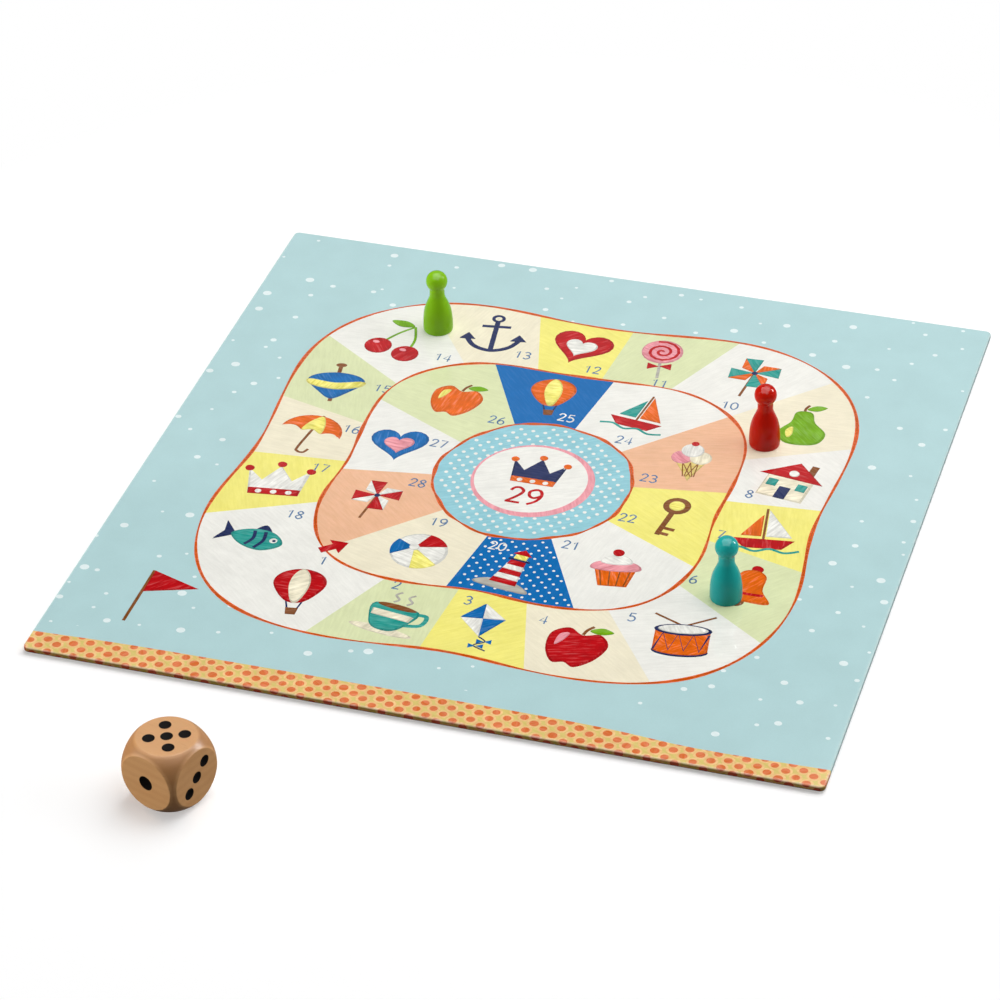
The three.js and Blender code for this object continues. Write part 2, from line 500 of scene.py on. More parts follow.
@dataclass(frozen=True)
class VarnishedBeech(Finish):
    """Tumbled beech under a thin satin varnish: smooth tan with growth bands and ray flecks that only just
    tell along the grain, rounded corners browner with painted shade, and matt black paint in the drilled
    pips."""

    name: str
    middle: tuple[float, float, float]
    yaw: float
    cloud: float = 50 / 7
    band: float = 3.2
    band_share: Span = (0.0, 0.18)
    fleck: float = 1.0
    fleck_share: Span = (0.0, 0.14)
    soaked_share: Span = (0.0, 0.5)
    pip_edge: Span = (0.96, 1.03)

    def dress(self, weave: Weave) -> None:
        """Run the grain along the die's own first direction and paint inside the pip radius.

        Args:
            weave: the material being built
        """
        raw = add_node(weave.tree, "TexCoord").outputs["Object"]
        sockets = {"Vector": raw, "Location": self.middle, "Rotation": (0, 0, self.yaw), "Scale": (MM,) * 3}
        own = add_node(weave.tree, "Mapping", sockets, vector_type="TEXTURE").outputs[0]
        cloud = weave.noise(weave.stretched(own, (0.12, 1.0, 1.0)), self.cloud)
        bands = weave.bands(weave.stretched(own, (0.1, 0.6, 1.0)), self.band, 3.0, 2.0)
        flecks = weave.noise(weave.stretched(own, (0.28, 1.6, 1.6)), self.fleck, 2.0)
        wood = weave.mix(cloud, "#C48F5A", "#D2A06C")
        wood = weave.mix(weave.between(bands, 0.2, 0.9, self.band_share), wood, "#B47C49")
        wood = weave.mix(weave.between(flecks, 0.6, 0.75, self.fleck_share), wood, "#8A5730")
        # painted shade: the rounded corners are darkened towards brown
        wood = weave.mix(weave.share(weave.mark("turned"), self.soaked_share), wood, "#8F5522")
        paint = weave.between(weave.mark("pip"), *self.pip_edge, (1.0, 0.0))
        weave.finish(
            {
                "Base Color": weave.mix(paint, wood, "#060403"),
                "Roughness": weave.share(paint, (0.4, 0.75)),
                "Normal": weave.bump(flecks, 0.05, 0.1),
                "Coat Weight": weave.share(paint, (0.1, 0.0)),
                "Specular IOR Level": weave.share(paint, (0.28, 0.05)),
                "Coat Roughness": 0.25,
            }
        )


@dataclass(frozen=True)
class StudioFloor(Finish):
    """Matt white studio paper: nothing but soft shadow shows on it, and the camera sees it run out into
    plain white beyond the board."""

    name: str = "studio_paper_matt"
    near: float = 215.0
    far: float = 320.0

    def dress(self, weave: Weave) -> None:
        """Set a matt surface that the camera sees as white, and that throws little light back up. Fade it,
        for the camera only, to plain white with distance.

        Args:
            weave: the material being built
        """
        tree = weave.tree
        reach = add_node(tree, "VectorMath", {0: weave.place()}, operation="LENGTH").outputs["Value"]
        seen = add_node(tree, "LightPath").outputs["Is Camera Ray"]
        tone = weave.mix(seen, "#727272", "#FFFFFF")
        weave.finish({"Base Color": tone, "Roughness": 1.0, "Specular IOR Level": 0.0})
        share = weave.times(weave.between(reach, self.near, self.far, (0.0, 1.0)), seen)
        white = add_node(tree, "Emission", {"Color": (1, 1, 1, 1), "Strength": 1.0}).outputs[0]
        mixed = add_node(tree, "MixShader", {0: share, 1: weave.shader.outputs[0], 2: white}).outputs[0]
        feed(tree, tree.nodes["Material Output"], {"Surface": mixed})


# The print


class Ink(Enum):
    """The print's flat colours."""

    GROUND = "#B3D4D6"
    SNOW = "#E4F1F1"
    STRIP = "#DFC878"
    HALO = "#F1C689"
    STRIP_DOT = "#E27D4F"
    WHITE = "#EFEEE7"
    CREAM = "#F1E9CF"
    PALE_GREEN = "#DCE3B4"
    YELLOW = "#F4EB80"
    SALMON = "#EFBC98"
    SKY = "#97CDD8"
    DEEP_BLUE = "#0A6BB2"
    TRACK_LINE = "#E0622A"
    RED = "#BE1018"
    ORANGE = "#E96B22"
    LEAF = "#79AF22"
    TEAL = "#3C9F95"
    BROWN = "#875330"
    NIGHT = "#27325E"
    PEN = "#5C7DA3"
    PINK = "#EC9FA8"
    STONE = "#B5B2A8"


@dataclass(frozen=True)
class Shape:
    """One closed outline in flat sheet millimetres, the ink that fills it, how dark that is laid, and how
    much of the brush shows in it."""

    outline: np.ndarray
    ink: Ink
    tone: float = 1.0
    brush: float = 1.0


@dataclass
class Sketch:
    """A small picture in a frame of about one unit each way, drawn back to front."""

    small: float = 0.05
    dried_edge: float = 0.76
    dried_inside: float = 0.92
    dried_shift: Point = (-0.018, 0.022)
    shapes: list[Shape] = field(default_factory=list)

    def lay(self, ink: Ink, outline: np.ndarray) -> None:
        """Lay a patch of colour: a larger one dries darker along its edge, most at the lower right.

        Args:
            ink: colour of the patch
            outline: its closed outline
        """
        after = np.roll(outline, -1, 0)
        area = 0.5 * abs(np.sum(outline[:, 0] * after[:, 1] - outline[:, 1] * after[:, 0]))
        if area > self.small:
            self.shapes.append(Shape(outline, ink, self.dried_edge))
            middle = outline.mean(0)
            outline = middle + self.dried_inside * (outline - middle) + self.dried_shift
        self.shapes.append(Shape(outline, ink))

    def fill(self, ink: Ink, *points: Point) -> None:
        """Fill a straight-edged outline."""
        self.lay(ink, np.array(points, float))

    def block(self, ink: Ink, x: float, y: float, far_x: float, far_y: float) -> None:
        """Fill an upright rectangle between two opposite corners."""
        self.fill(ink, (x, y), (far_x, y), (far_x, far_y), (x, far_y))

    def loop(self, ink: Ink, *points: Point) -> None:
        """Fill a smooth outline through the points."""
        self.lay(ink, smooth_path(points, closed=True))

    def disc(self, ink: Ink, x: float, y: float, rx: float, ry: float | None = None) -> None:
        """Fill an ellipse, or a circle where one radius is given."""
        self.lay(ink, round_outline(x, y, rx, rx if ry is None else ry))

    def line(self, ink: Ink, width: float, *points: Point, bent: bool = True) -> None:
        """Draw a line of even width: half the width to either side, square to the way along.

        Args:
            ink: colour of the line
            width: its width
            points: points along it
            bent: whether it runs smoothly through them, or straight from one to the next
        """
        path = smooth_path(points, closed=False) if bent else np.array(points, float)
        along = np.gradient(path, axis=0)
        along /= np.linalg.norm(along, axis=1, keepdims=True)
        across = 0.5 * width * np.stack([-along[:, 1], along[:, 0]], -1)
        self.shapes.append(Shape(np.vstack([path + across, (path - across)[::-1]]), ink))

    def bar(self, ink: Ink, width: float, *points: Point) -> None:
        """Draw a line of even width that runs straight from point to point."""
        self.line(ink, width, *points, bent=False)

    def placed(self, middle: Sequence[float], scale: float, tilt: float = 0.0) -> list[Shape]:
        """Give the shapes on the sheet: turned by radians, scaled to millimetres and moved to a middle."""
        turned = np.array([[math.cos(tilt), math.sin(tilt)], [-math.sin(tilt), math.cos(tilt)]])
        return [replace(s, outline=s.outline @ turned * scale + np.array(middle)) for s in self.shapes]


def polka(
    outline: np.ndarray, pitch: float, radius: float, row: float = 0.6, inside: float = 0.93
) -> list[Shape]:
    """Lay white dots on the points of a staggered lattice that lie well inside an outline.

    Args:
        outline: patch that takes the dots
        pitch: distance between dots in a row
        radius: radius of a dot
        row: distance between rows as a share of the pitch
        inside: share of the patch, about its middle, that may hold a dot's middle
    Returns:
        The dots
    """
    low, high = outline.min(0), outline.max(0)
    x, y = np.meshgrid(np.arange(low[0], high[0], pitch), np.arange(low[1], high[1], row * pitch))
    x = x + 0.5 * pitch * (np.arange(len(y))[:, None] % 2)
    spots = np.stack([x, y], -1).reshape(-1, 2)
    middle = outline.mean(0)
    kept = wound_around(spots, middle + inside * (outline - middle))
    return [Shape(round_outline(*spot, radius, radius, 10), Ink.WHITE, brush=0.3) for spot in spots[kept]]


def both(*right: Point) -> list[Point]:
    """Follow points down the right-hand side with their mirror images back up the left one."""
    return [*right, *((-x, y) for x, y in reversed(right) if x)]


@dataclass
class Picture(Sketch):
    """The track's small pictures, each drawn in two main inks of its own and a few fixed ones."""

    first: Ink = Ink.RED
    second: Ink = Ink.WHITE

    def balloon(self) -> None:
        """Hot-air balloon: a swelling envelope with a paler gore, two ropes and a basket."""
        for side in (-1, 1):
            self.bar(Ink.NIGHT, 0.05, (side * 0.22, -0.4), (side * 0.13, -0.75))
        self.loop(self.first, *both((0, 1), (0.55, 0.78), (0.7, 0.28), (0.26, -0.42)))
        self.loop(self.second, *both((0, 1), (0.22, 0.72), (0.27, 0.2), (0.1, -0.43)))
        self.fill(Ink.BROWN, (-0.17, -0.72), (0.17, -0.72), (0.13, -1), (-0.13, -1))

    def boat(self) -> None:
        """Sailing boat: a main sail, a jib, a hull and a wave."""
        self.fill(self.first, (0.06, 0.95), (0.06, -0.28), (0.76, -0.28))
        self.fill(self.second, (-0.07, 0.72), (-0.62, -0.28), (-0.07, -0.28))
        self.bar(Ink.BROWN, 0.07, (0, 1), (0, -0.45))
        self.fill(Ink.RED, (-0.85, -0.4), (0.85, -0.4), (0.52, -0.82), (-0.5, -0.82))
        wave = [(-1, -0.9), (-0.6, -0.8), (-0.2, -0.96), (0.2, -0.82), (0.6, -0.96), (1, -0.84)]
        self.line(Ink.TEAL, 0.09, *wave)

    def kite(self) -> None:
        """Kite: four panels in two colours and a tail with bows."""
        top, right, foot, left, cross = (0, 1), (0.6, 0.35), (0, -0.42), (-0.6, 0.35), (0, 0.35)
        upper = ((self.first, top, left), (self.second, top, right))
        lower = ((self.second, left, foot), (self.first, right, foot))
        for ink, far, near in upper + lower:
            self.fill(ink, far, cross, near)
        self.line(Ink.NIGHT, 0.045, foot, (0.2, -0.62), (-0.08, -0.8), (0.26, -1))
        for x, y in ((0.17, -0.62), (-0.02, -0.82)):
            for side in (-0.2, 0.2):
                self.fill(self.first, (x, y), (x + side, y + 0.1), (x + side, y - 0.1))

    def umbrella(self) -> None:
        """Umbrella: a domed canopy with one paler panel and scalloped hem, and a hooked stick."""
        self.line(Ink.BROWN, 0.08, (0, 0.9), (0, -0.68), (0.08, -0.92), (0.26, -0.92), (0.32, -0.72))
        arch = np.linspace(0, math.pi, 17)
        hem = np.linspace(-0.9, 0.9, 25)
        dome = np.stack([0.9 * np.cos(arch), 0.05 + 0.82 * np.sin(arch)], -1)
        scallops = np.stack([hem, 0.05 + 0.14 * np.abs(np.sin(hem / 0.6 * math.pi + math.pi / 2))], -1)
        self.lay(self.first, np.vstack([dome, scallops]))
        self.loop(self.second, *both((0, 0.86), (0.24, 0.5), (0.3, 0.06), (0, 0.18)))

    def apple(self) -> None:
        """Apple: a two-lobed fruit with a light patch, a stalk and a leaf."""
        self.line(Ink.BROWN, 0.09, (0, 0.5), (0.03, 0.72), (0.14, 0.92))
        self.loop(Ink.LEAF, (0.1, 0.72), (0.4, 0.94), (0.72, 0.86), (0.42, 0.66))
        flesh = both((0, 0.48), (0.44, 0.66), (0.8, 0.28), (0.68, -0.38), (0.32, -0.84), (0, -0.74))
        self.loop(self.first, *flesh)
        self.loop(self.second, (-0.56, 0.3), (-0.34, 0.44), (-0.4, 0.06), (-0.54, -0.14))

    def cherries(self) -> None:
        """Cherries: a pair on one stalk with a leaf."""
        self.line(Ink.LEAF, 0.08, (-0.44, -0.3), (-0.2, 0.3), (0.12, 0.82))
        self.line(Ink.LEAF, 0.08, (0.46, -0.4), (0.4, 0.2), (0.12, 0.82))
        self.loop(Ink.LEAF, (0.1, 0.82), (-0.2, 1), (-0.66, 0.88), (-0.3, 0.68))
        for x, y in ((-0.46, -0.46), (0.44, -0.56)):
            self.disc(self.first, x, y, 0.4)
            self.disc(self.second, x - 0.14, y + 0.16, 0.1, 0.07)

    def pear(self) -> None:
        """Pear: a narrow-necked fruit with a light patch, a stalk and a leaf."""
        self.line(Ink.BROWN, 0.08, (0, 0.62), (0.02, 0.82), (0.12, 1))
        self.loop(Ink.LEAF, (0.06, 0.78), (0.34, 0.98), (0.62, 0.92), (0.36, 0.72))
        flesh = both((0, 0.7), (0.24, 0.6), (0.34, 0.14), (0.66, -0.36), (0.48, -0.86), (0, -0.98))
        self.loop(self.first, *flesh)
        self.loop(self.second, (-0.44, -0.3), (-0.26, -0.1), (-0.26, -0.5), (-0.4, -0.62))

    def cup(self) -> None:
        """Cup: a banded bowl with a handle on a saucer, and two curls of steam."""
        self.disc(self.second, 0, -0.72, 0.9, 0.15)
        self.line(self.first, 0.13, (0.5, 0.2), (0.88, 0.24), (0.88, -0.16), (0.42, -0.34))
        self.loop(self.first, (-0.62, 0.34), *both((0.62, 0.34), (0.52, -0.34), (0.24, -0.68))[:-1])
        self.fill(self.second, (-0.59, 0.08), (0.59, 0.08), (0.54, -0.16), (-0.54, -0.16))
        self.disc(Ink.BROWN, 0, 0.33, 0.56, 0.1)
        for x in (-0.2, 0.18):
            self.line(Ink.STONE, 0.07, (x, 0.5), (x + 0.1, 0.64), (x - 0.06, 0.8), (x + 0.06, 0.96))

    def drum(self) -> None:
        """Drum: a laced shell between two hoops, and a pair of sticks."""
        for side in (-1, 1):
            self.bar(Ink.BROWN, 0.07, (side * 0.8, 0.95), (side * -0.1, 0.42))
        self.disc(self.second, 0, -0.58, 0.74, 0.24)
        self.block(self.first, -0.72, 0.3, 0.72, -0.56)
        self.disc(self.first, 0, -0.52, 0.72, 0.22)
        self.bar(self.second, 0.06, *((-0.7 + 0.2 * i, 0.16 if i % 2 else -0.56) for i in range(8)))
        self.disc(self.second, 0, 0.32, 0.76, 0.24)
        self.disc(Ink.WHITE, 0, 0.34, 0.66, 0.18)

    def house(self) -> None:
        """House: a gabled wall, a roof with a chimney, a door and two windows."""
        self.block(Ink.BROWN, 0.34, 0.92, 0.54, 0.3)
        self.block(self.second, -0.66, 0.2, 0.66, -0.86)
        self.fill(self.first, (-0.92, 0.12), (0, 0.92), (0.92, 0.12))
        self.fill(Ink.NIGHT, (-0.16, -0.86), (-0.16, -0.3), (0.16, -0.3), (0.16, -0.86))
        for x in (-0.42, 0.42):
            self.block(Ink.TEAL, x - 0.14, -0.04, x + 0.14, -0.36)
        self.disc(Ink.WHITE, 0, 0.38, 0.14)

    def heart(self) -> None:
        """Heart: sixteen sine-cubed across against four cosines up, with a smaller one in it."""
        t = np.linspace(0, TURN, 36, endpoint=False)
        up = 13 * np.cos(t) - 5 * np.cos(2 * t) - 2 * np.cos(3 * t) - np.cos(4 * t)
        outline = np.stack([16 * np.sin(t) ** 3, up + 2.5], -1) / 17
        self.lay(self.first, outline * 0.95)
        self.lay(self.second, outline * 0.5)

    def key(self) -> None:
        """Key: a round bow, a straight shank and two bits."""
        self.disc(self.first, 0, 0.58, 0.42)
        self.disc(self.second, 0, 0.58, 0.24)
        self.block(self.first, -0.08, 0.2, 0.08, -0.98)
        self.block(self.first, 0.06, -0.52, 0.4, -0.66)
        self.block(self.first, 0.06, -0.8, 0.32, -0.94)

    def bell(self) -> None:
        """Bell: a flaring body with a band, a loop above and a clapper below."""
        self.disc(self.second, 0, 0.82, 0.16)
        self.disc(Ink.BROWN, 0, -0.68, 0.2)
        self.loop(self.first, *both((0, 0.78), (0.34, 0.6), (0.46, 0), (0.82, -0.5), (0, -0.62)))
        self.line(self.second, 0.11, (-0.55, -0.2), (0, -0.28), (0.55, -0.2))

    def crown(self) -> None:
        """Crown: three points with balls over a jewelled band."""
        points = both((0, 0.66), (0.44, -0.06), (0.86, 0.42), (0.7, -0.7))
        self.fill(self.first, *points[-2:], *points[:-2])
        for x, y in ((-0.86, 0.48), (0, 0.74), (0.86, 0.48)):
            self.disc(self.second, x, y, 0.13)
        self.fill(self.second, (-0.73, -0.42), (0.73, -0.42), (0.7, -0.7), (-0.7, -0.7))
        for x in (-0.42, 0, 0.42):
            self.disc(Ink.WHITE, x, -0.56, 0.09)

    def ball(self) -> None:
        """Ball: coloured panels that run from pole to pole."""
        self.disc(Ink.WHITE, 0, 0, 0.86)
        for ink, start in ((self.first, 0.35), (self.second, 2.45), (Ink.YELLOW, 4.54)):
            sweep = np.linspace(start, start + 0.95, 8)
            self.fill(ink, (-0.16, 0.18), *(0.86 * np.stack([np.cos(sweep), np.sin(sweep)], -1)))
        self.disc(Ink.WHITE, -0.16, 0.18, 0.15)

    def pinwheel(self) -> None:
        """Pinwheel: four folded vanes about a pin, on a stick."""
        self.bar(Ink.BROWN, 0.08, (0, 0.2), (0.02, -1))
        vanes = ((self.first, (0.72, 0.0), (0.62, 0.5)), (self.second, (0.62, 0.5), (0.12, 0.44)))
        for quarter in range(4):
            c, n = math.cos(quarter * math.pi / 2), math.sin(quarter * math.pi / 2)
            for ink, *vane in vanes:
                self.fill(ink, *[(x * c - y * n, 0.25 + x * n + y * c) for x, y in ((0, 0), *vane)])
        self.disc(Ink.NIGHT, 0, 0.25, 0.09)

    def spinner(self) -> None:
        """Spinning top: a banded body on a point, with a stem."""
        self.bar(Ink.BROWN, 0.12, (0, 0.95), (0, -0.95))
        self.disc(Ink.BROWN, 0, 0.9, 0.16, 0.1)
        self.loop(self.first, *both((0, 0.52), (0.6, 0.38), (0.82, 0.04), (0.4, -0.5), (0, -0.82)))
        band = [(-0.8, 0.12), (0, -0.02), (0.8, 0.12), (0.72, -0.16), (0, -0.34), (-0.72, -0.16)]
        self.loop(self.second, *band)

    def ice(self) -> None:
        """Ice-cream cone: three scoops in a hatched cone."""
        self.fill(Ink.STRIP, (-0.46, -0.02), (0.46, -0.02), (0, -1))
        for x in (-0.24, 0.0, 0.24):
            for lean in (0.12, -0.12):
                self.bar(Ink.BROWN, 0.035, (x, -0.05), (x * 0.2 + lean, -0.78))
        self.disc(self.first, -0.28, 0.22, 0.34)
        self.disc(self.second, 0.28, 0.22, 0.34)
        self.disc(Ink.WHITE, 0, 0.6, 0.35)
        self.disc(Ink.RED, 0.04, 0.96, 0.12)

    def fish(self) -> None:
        """Fish: a leaf-shaped body with bands, a tail, fins and an eye."""
        self.fill(self.second, (-0.5, 0), (-1, 0.46), (-0.86, 0), (-1, -0.46))
        self.loop(self.second, (-0.1, 0.3), (0.1, 0.66), (0.42, 0.3))
        body = [(0.86, 0.02), (0.44, 0.42), (-0.2, 0.38), (-0.66, 0), (-0.2, -0.38), (0.44, -0.42)]
        self.loop(self.first, *body)
        for x, h in ((-0.1, 0.33), (0.2, 0.38)):
            self.line(self.second, 0.1, (x, h), (x + 0.1, 0), (x, -h))
        self.disc(Ink.WHITE, 0.56, 0.1, 0.11)
        self.disc(Ink.NIGHT, 0.58, 0.1, 0.05)

    def lighthouse(self) -> None:
        """Lighthouse: a tapering striped tower with a lamp room, on a rock."""
        self.loop(Ink.STONE, (-0.8, -0.96), (-0.5, -0.62), (0.4, -0.6), (0.84, -0.96))
        ends = np.linspace(0, 1, 6)
        half, high = 0.42 - 0.18 * ends, -0.72 + 1.16 * ends
        for i in range(5):
            ink = self.second if i % 2 else self.first
            self.fill(ink, *both((half[i], high[i]), (half[i + 1], high[i + 1])))
        self.block(Ink.NIGHT, -0.34, 0.44, 0.34, 0.52)
        self.block(Ink.YELLOW, -0.2, 0.52, 0.2, 0.74)
        self.fill(self.first, (-0.3, 0.74), (0.3, 0.74), (0, 1))

    def anchor(self) -> None:
        """Anchor: a ring, a stock, a shank and two flukes on a curved arm."""
        self.disc(self.first, 0, 0.78, 0.2)
        self.disc(self.second, 0, 0.78, 0.1)
        self.bar(self.first, 0.15, (0, 0.62), (0, -0.86))
        self.bar(self.first, 0.13, (-0.42, 0.36), (0.42, 0.36))
        self.line(self.first, 0.15, (-0.78, -0.26), (-0.5, -0.7), (0, -0.9), (0.5, -0.7), (0.78, -0.26))
        for side in (-1, 1):
            self.fill(self.first, (side * 0.98, -0.36), (side * 0.74, -0.02), (side * 0.5, -0.36))

    def lolly(self) -> None:
        """Lollipop: a disc with a spiral that widens evenly, a stick and a bow."""
        self.bar(Ink.STONE, 0.09, (0, 0), (0, -1))
        self.disc(self.first, 0, 0.36, 0.6)
        turn = np.linspace(0.6, 2.3 * TURN, 30)
        spiral = 0.54 * (turn / turn[-1])[:, None] * np.stack([np.cos(turn), np.sin(turn)], -1) + (0, 0.36)
        self.bar(self.second, 0.09, *spiral)
        for side in (-1, 1):
            self.fill(self.second, (0, -0.4), (side * 0.34, -0.24), (side * 0.34, -0.56))

    def cake(self) -> None:
        """Cup cake: a pleated case, two swells of icing and a cherry."""
        self.fill(self.second, (-0.6, -0.12), (0.6, -0.12), (0.42, -0.9), (-0.42, -0.9))
        for x in (-0.36, -0.12, 0.12, 0.36):
            self.bar(Ink.BROWN, 0.04, (x * 1.25, -0.14), (x * 0.9, -0.88))
        self.loop(self.first, (-0.72, -0.08), (-0.6, 0.24), (0, 0.36), (0.6, 0.24), (0.72, -0.08), (0, -0.18))
        self.loop(Ink.WHITE, (-0.46, 0.24), (-0.34, 0.52), (0, 0.62), (0.34, 0.52), (0.46, 0.24), (0, 0.14))
        self.disc(Ink.RED, 0, 0.74, 0.17)


@dataclass(frozen=True)
class Space:
    """One space of the track: its ground, its picture, the picture's two main inks, and whether small
    white dots lie on the ground."""

    ground: Ink
    drawing: Callable[[Picture], None]
    first: Ink
    second: Ink
    dotted: bool = False


OUTER_SPACES = (
    Space(Ink.WHITE, Picture.balloon, Ink.RED, Ink.CREAM),
    Space(Ink.PALE_GREEN, Picture.cup, Ink.TEAL, Ink.CREAM),
    Space(Ink.YELLOW, Picture.kite, Ink.DEEP_BLUE, Ink.WHITE),
    Space(Ink.CREAM, Picture.apple, Ink.RED, Ink.PINK),
    Space(Ink.WHITE, Picture.drum, Ink.ORANGE, Ink.NIGHT),
    Space(Ink.PALE_GREEN, Picture.bell, Ink.ORANGE, Ink.RED),
    Space(Ink.YELLOW, Picture.boat, Ink.WHITE, Ink.ORANGE),
    Space(Ink.WHITE, Picture.house, Ink.RED, Ink.CREAM),
    Space(Ink.CREAM, Picture.pear, Ink.LEAF, Ink.YELLOW),
    Space(Ink.WHITE, Picture.pinwheel, Ink.TEAL, Ink.ORANGE),
    Space(Ink.PALE_GREEN, Picture.lolly, Ink.PINK, Ink.RED),
    Space(Ink.YELLOW, Picture.heart, Ink.RED, Ink.WHITE),
    Space(Ink.CREAM, Picture.anchor, Ink.NIGHT, Ink.CREAM),
    Space(Ink.WHITE, Picture.cherries, Ink.RED, Ink.PINK),
    Space(Ink.PALE_GREEN, Picture.spinner, Ink.DEEP_BLUE, Ink.YELLOW),
    Space(Ink.CREAM, Picture.umbrella, Ink.ORANGE, Ink.YELLOW),
    Space(Ink.YELLOW, Picture.crown, Ink.WHITE, Ink.RED),
    Space(Ink.WHITE, Picture.fish, Ink.TEAL, Ink.NIGHT),
)
INNER_SPACES = (
    Space(Ink.CREAM, Picture.ball, Ink.RED, Ink.DEEP_BLUE),
    Space(Ink.DEEP_BLUE, Picture.lighthouse, Ink.RED, Ink.WHITE, dotted=True),
    Space(Ink.WHITE, Picture.cake, Ink.PINK, Ink.ORANGE),
    Space(Ink.YELLOW, Picture.key, Ink.BROWN, Ink.YELLOW),
    Space(Ink.SALMON, Picture.ice, Ink.PINK, Ink.CREAM),
    Space(Ink.WHITE, Picture.boat, Ink.ORANGE, Ink.TEAL),
    Space(Ink.DEEP_BLUE, Picture.balloon, Ink.ORANGE, Ink.YELLOW),
    Space(Ink.PALE_GREEN, Picture.apple, Ink.ORANGE, Ink.YELLOW),
    Space(Ink.WHITE, Picture.heart, Ink.DEEP_BLUE, Ink.PINK),
    Space(Ink.SALMON, Picture.pinwheel, Ink.RED, Ink.WHITE),
)


@dataclass(frozen=True)
class Numerals:
    """Plain pen numerals: each figure is one or more strokes in a box 0.6 wide and 1 high."""

    pen: float = 0.13
    width: float = 0.6
    advance: float = 0.74

    def strokes(self, figure: str) -> list[tuple[bool, list[Point]]]:
        """Give a figure's strokes.

        Args:
            figure: one character from 0 to 9
        Returns:
            For each stroke, whether it bends smoothly, and its points
        """
        if figure == "9":
            return [(bent, [(self.width - x, 1 - y) for x, y in path]) for bent, path in self.strokes("6")]
        oval = [(0.3, 1), (0.07, 0.78), (0.03, 0.5), (0.07, 0.22), (0.3, 0), (0.53, 0.22), (0.57, 0.5)]
        hook = [(0.47, 0.98), (0.2, 0.74), (0.06, 0.36), (0.15, 0.06), (0.34, 0), (0.55, 0.16), (0.5, 0.44)]
        table = {
            "0": [(True, oval + [(0.53, 0.78), (0.3, 1)])],
            "1": [(False, [(0.1, 0.76), (0.34, 1), (0.34, 0)])],
            "2": [
                (True, [(0.05, 0.76), (0.16, 0.96), (0.36, 1), (0.53, 0.82), (0.42, 0.5), (0.04, 0.02)]),
                (False, [(0.02, 0.04), (0.58, 0.04)]),
            ],
            "3": [
                (True, [(0.06, 0.88), (0.3, 1), (0.52, 0.8), (0.42, 0.58), (0.22, 0.53)]),
                (True, [(0.22, 0.53), (0.48, 0.46), (0.56, 0.22), (0.32, 0), (0.05, 0.12)]),
            ],
            "4": [(False, [(0.44, 0), (0.44, 1), (0.03, 0.32), (0.6, 0.32)])],
            "5": [
                (False, [(0.52, 0.97), (0.15, 0.97), (0.1, 0.54)]),
                (True, [(0.1, 0.54), (0.32, 0.63), (0.55, 0.42), (0.5, 0.12), (0.27, 0), (0.04, 0.1)]),
            ],
            "6": [(True, hook + [(0.3, 0.53), (0.09, 0.36)])],
            "7": [(False, [(0.04, 0.97), (0.56, 0.97), (0.22, 0)])],
            "8": [
                (True, [(0.3, 0.54), (0.09, 0.77), (0.3, 1), (0.51, 0.77), (0.3, 0.54)]),
                (True, [(0.3, 0.54), (0.05, 0.27), (0.3, 0), (0.55, 0.27), (0.3, 0.54)]),
            ],
        }
        return table[figure]

    def write(self, number: int, middle: Sequence[float], height: float, ink: Ink) -> list[Shape]:
        """Write a number about a middle.

        Args:
            number: number to write
            middle: its middle on the sheet
            height: height of its figures in millimetres
            ink: colour of the pen
        Returns:
            The strokes' shapes
        """
        sketch = Sketch()
        figures = str(number)
        left = -0.5 * (self.advance * (len(figures) - 1) + self.width)
        for place, figure in enumerate(figures):
            for bent, points in self.strokes(figure):
                moved = [(x + left + place * self.advance, y - 0.5) for x, y in points]
                sketch.line(ink, self.pen, *moved, bent=bent)
        return sketch.placed(middle, height)


@dataclass(frozen=True)
class Rim:
    """A hand-drawn rim of the track: its radius is a mean plus a swell times the cosine of four times the
    angle from the diagonal, and a slight waver, so that it leans out towards the board's corners."""

    mean: float
    swell: float
    waver: Span = (0.35, 0.2)
    uneven: Span = (0.25, 0.2)

    def radius(self, angle: np.ndarray) -> np.ndarray:
        """Give the rim's radius at the angles."""
        waver = self.waver[0] * np.sin(5 * angle + self.mean) + self.waver[1] * np.sin(13 * angle)
        return self.mean + self.swell * np.cos(4 * (angle - math.pi / 4)) + waver

    def points(self, angle: np.ndarray, shift: np.ndarray | float = 0.0) -> np.ndarray:
        """Give the rim's points at the angles, moved outwards by the shift."""
        return (self.radius(angle) + shift)[:, None] * np.stack([np.cos(angle), np.sin(angle)], -1)

    def crayon(self, width: float, tone: float) -> Shape:
        """Draw the rim as a crayon line: a band between two edges that swell and thin with the angle.

        Args:
            width: mean width of the line
            tone: how dark it is laid
        Returns:
            The closed band
        """
        angle = np.linspace(0, TURN, 241)
        broad, fine = self.uneven
        half = 1 + broad * np.sin(9 * angle + self.mean) + fine * np.sin(23 * angle + 9 * tone)
        outer = self.points(angle, width / 2 * half)
        inner = self.points(angle, -width / 2 * half)
        return Shape(np.vstack([outer, inner[::-1]]), Ink.TRACK_LINE, tone)


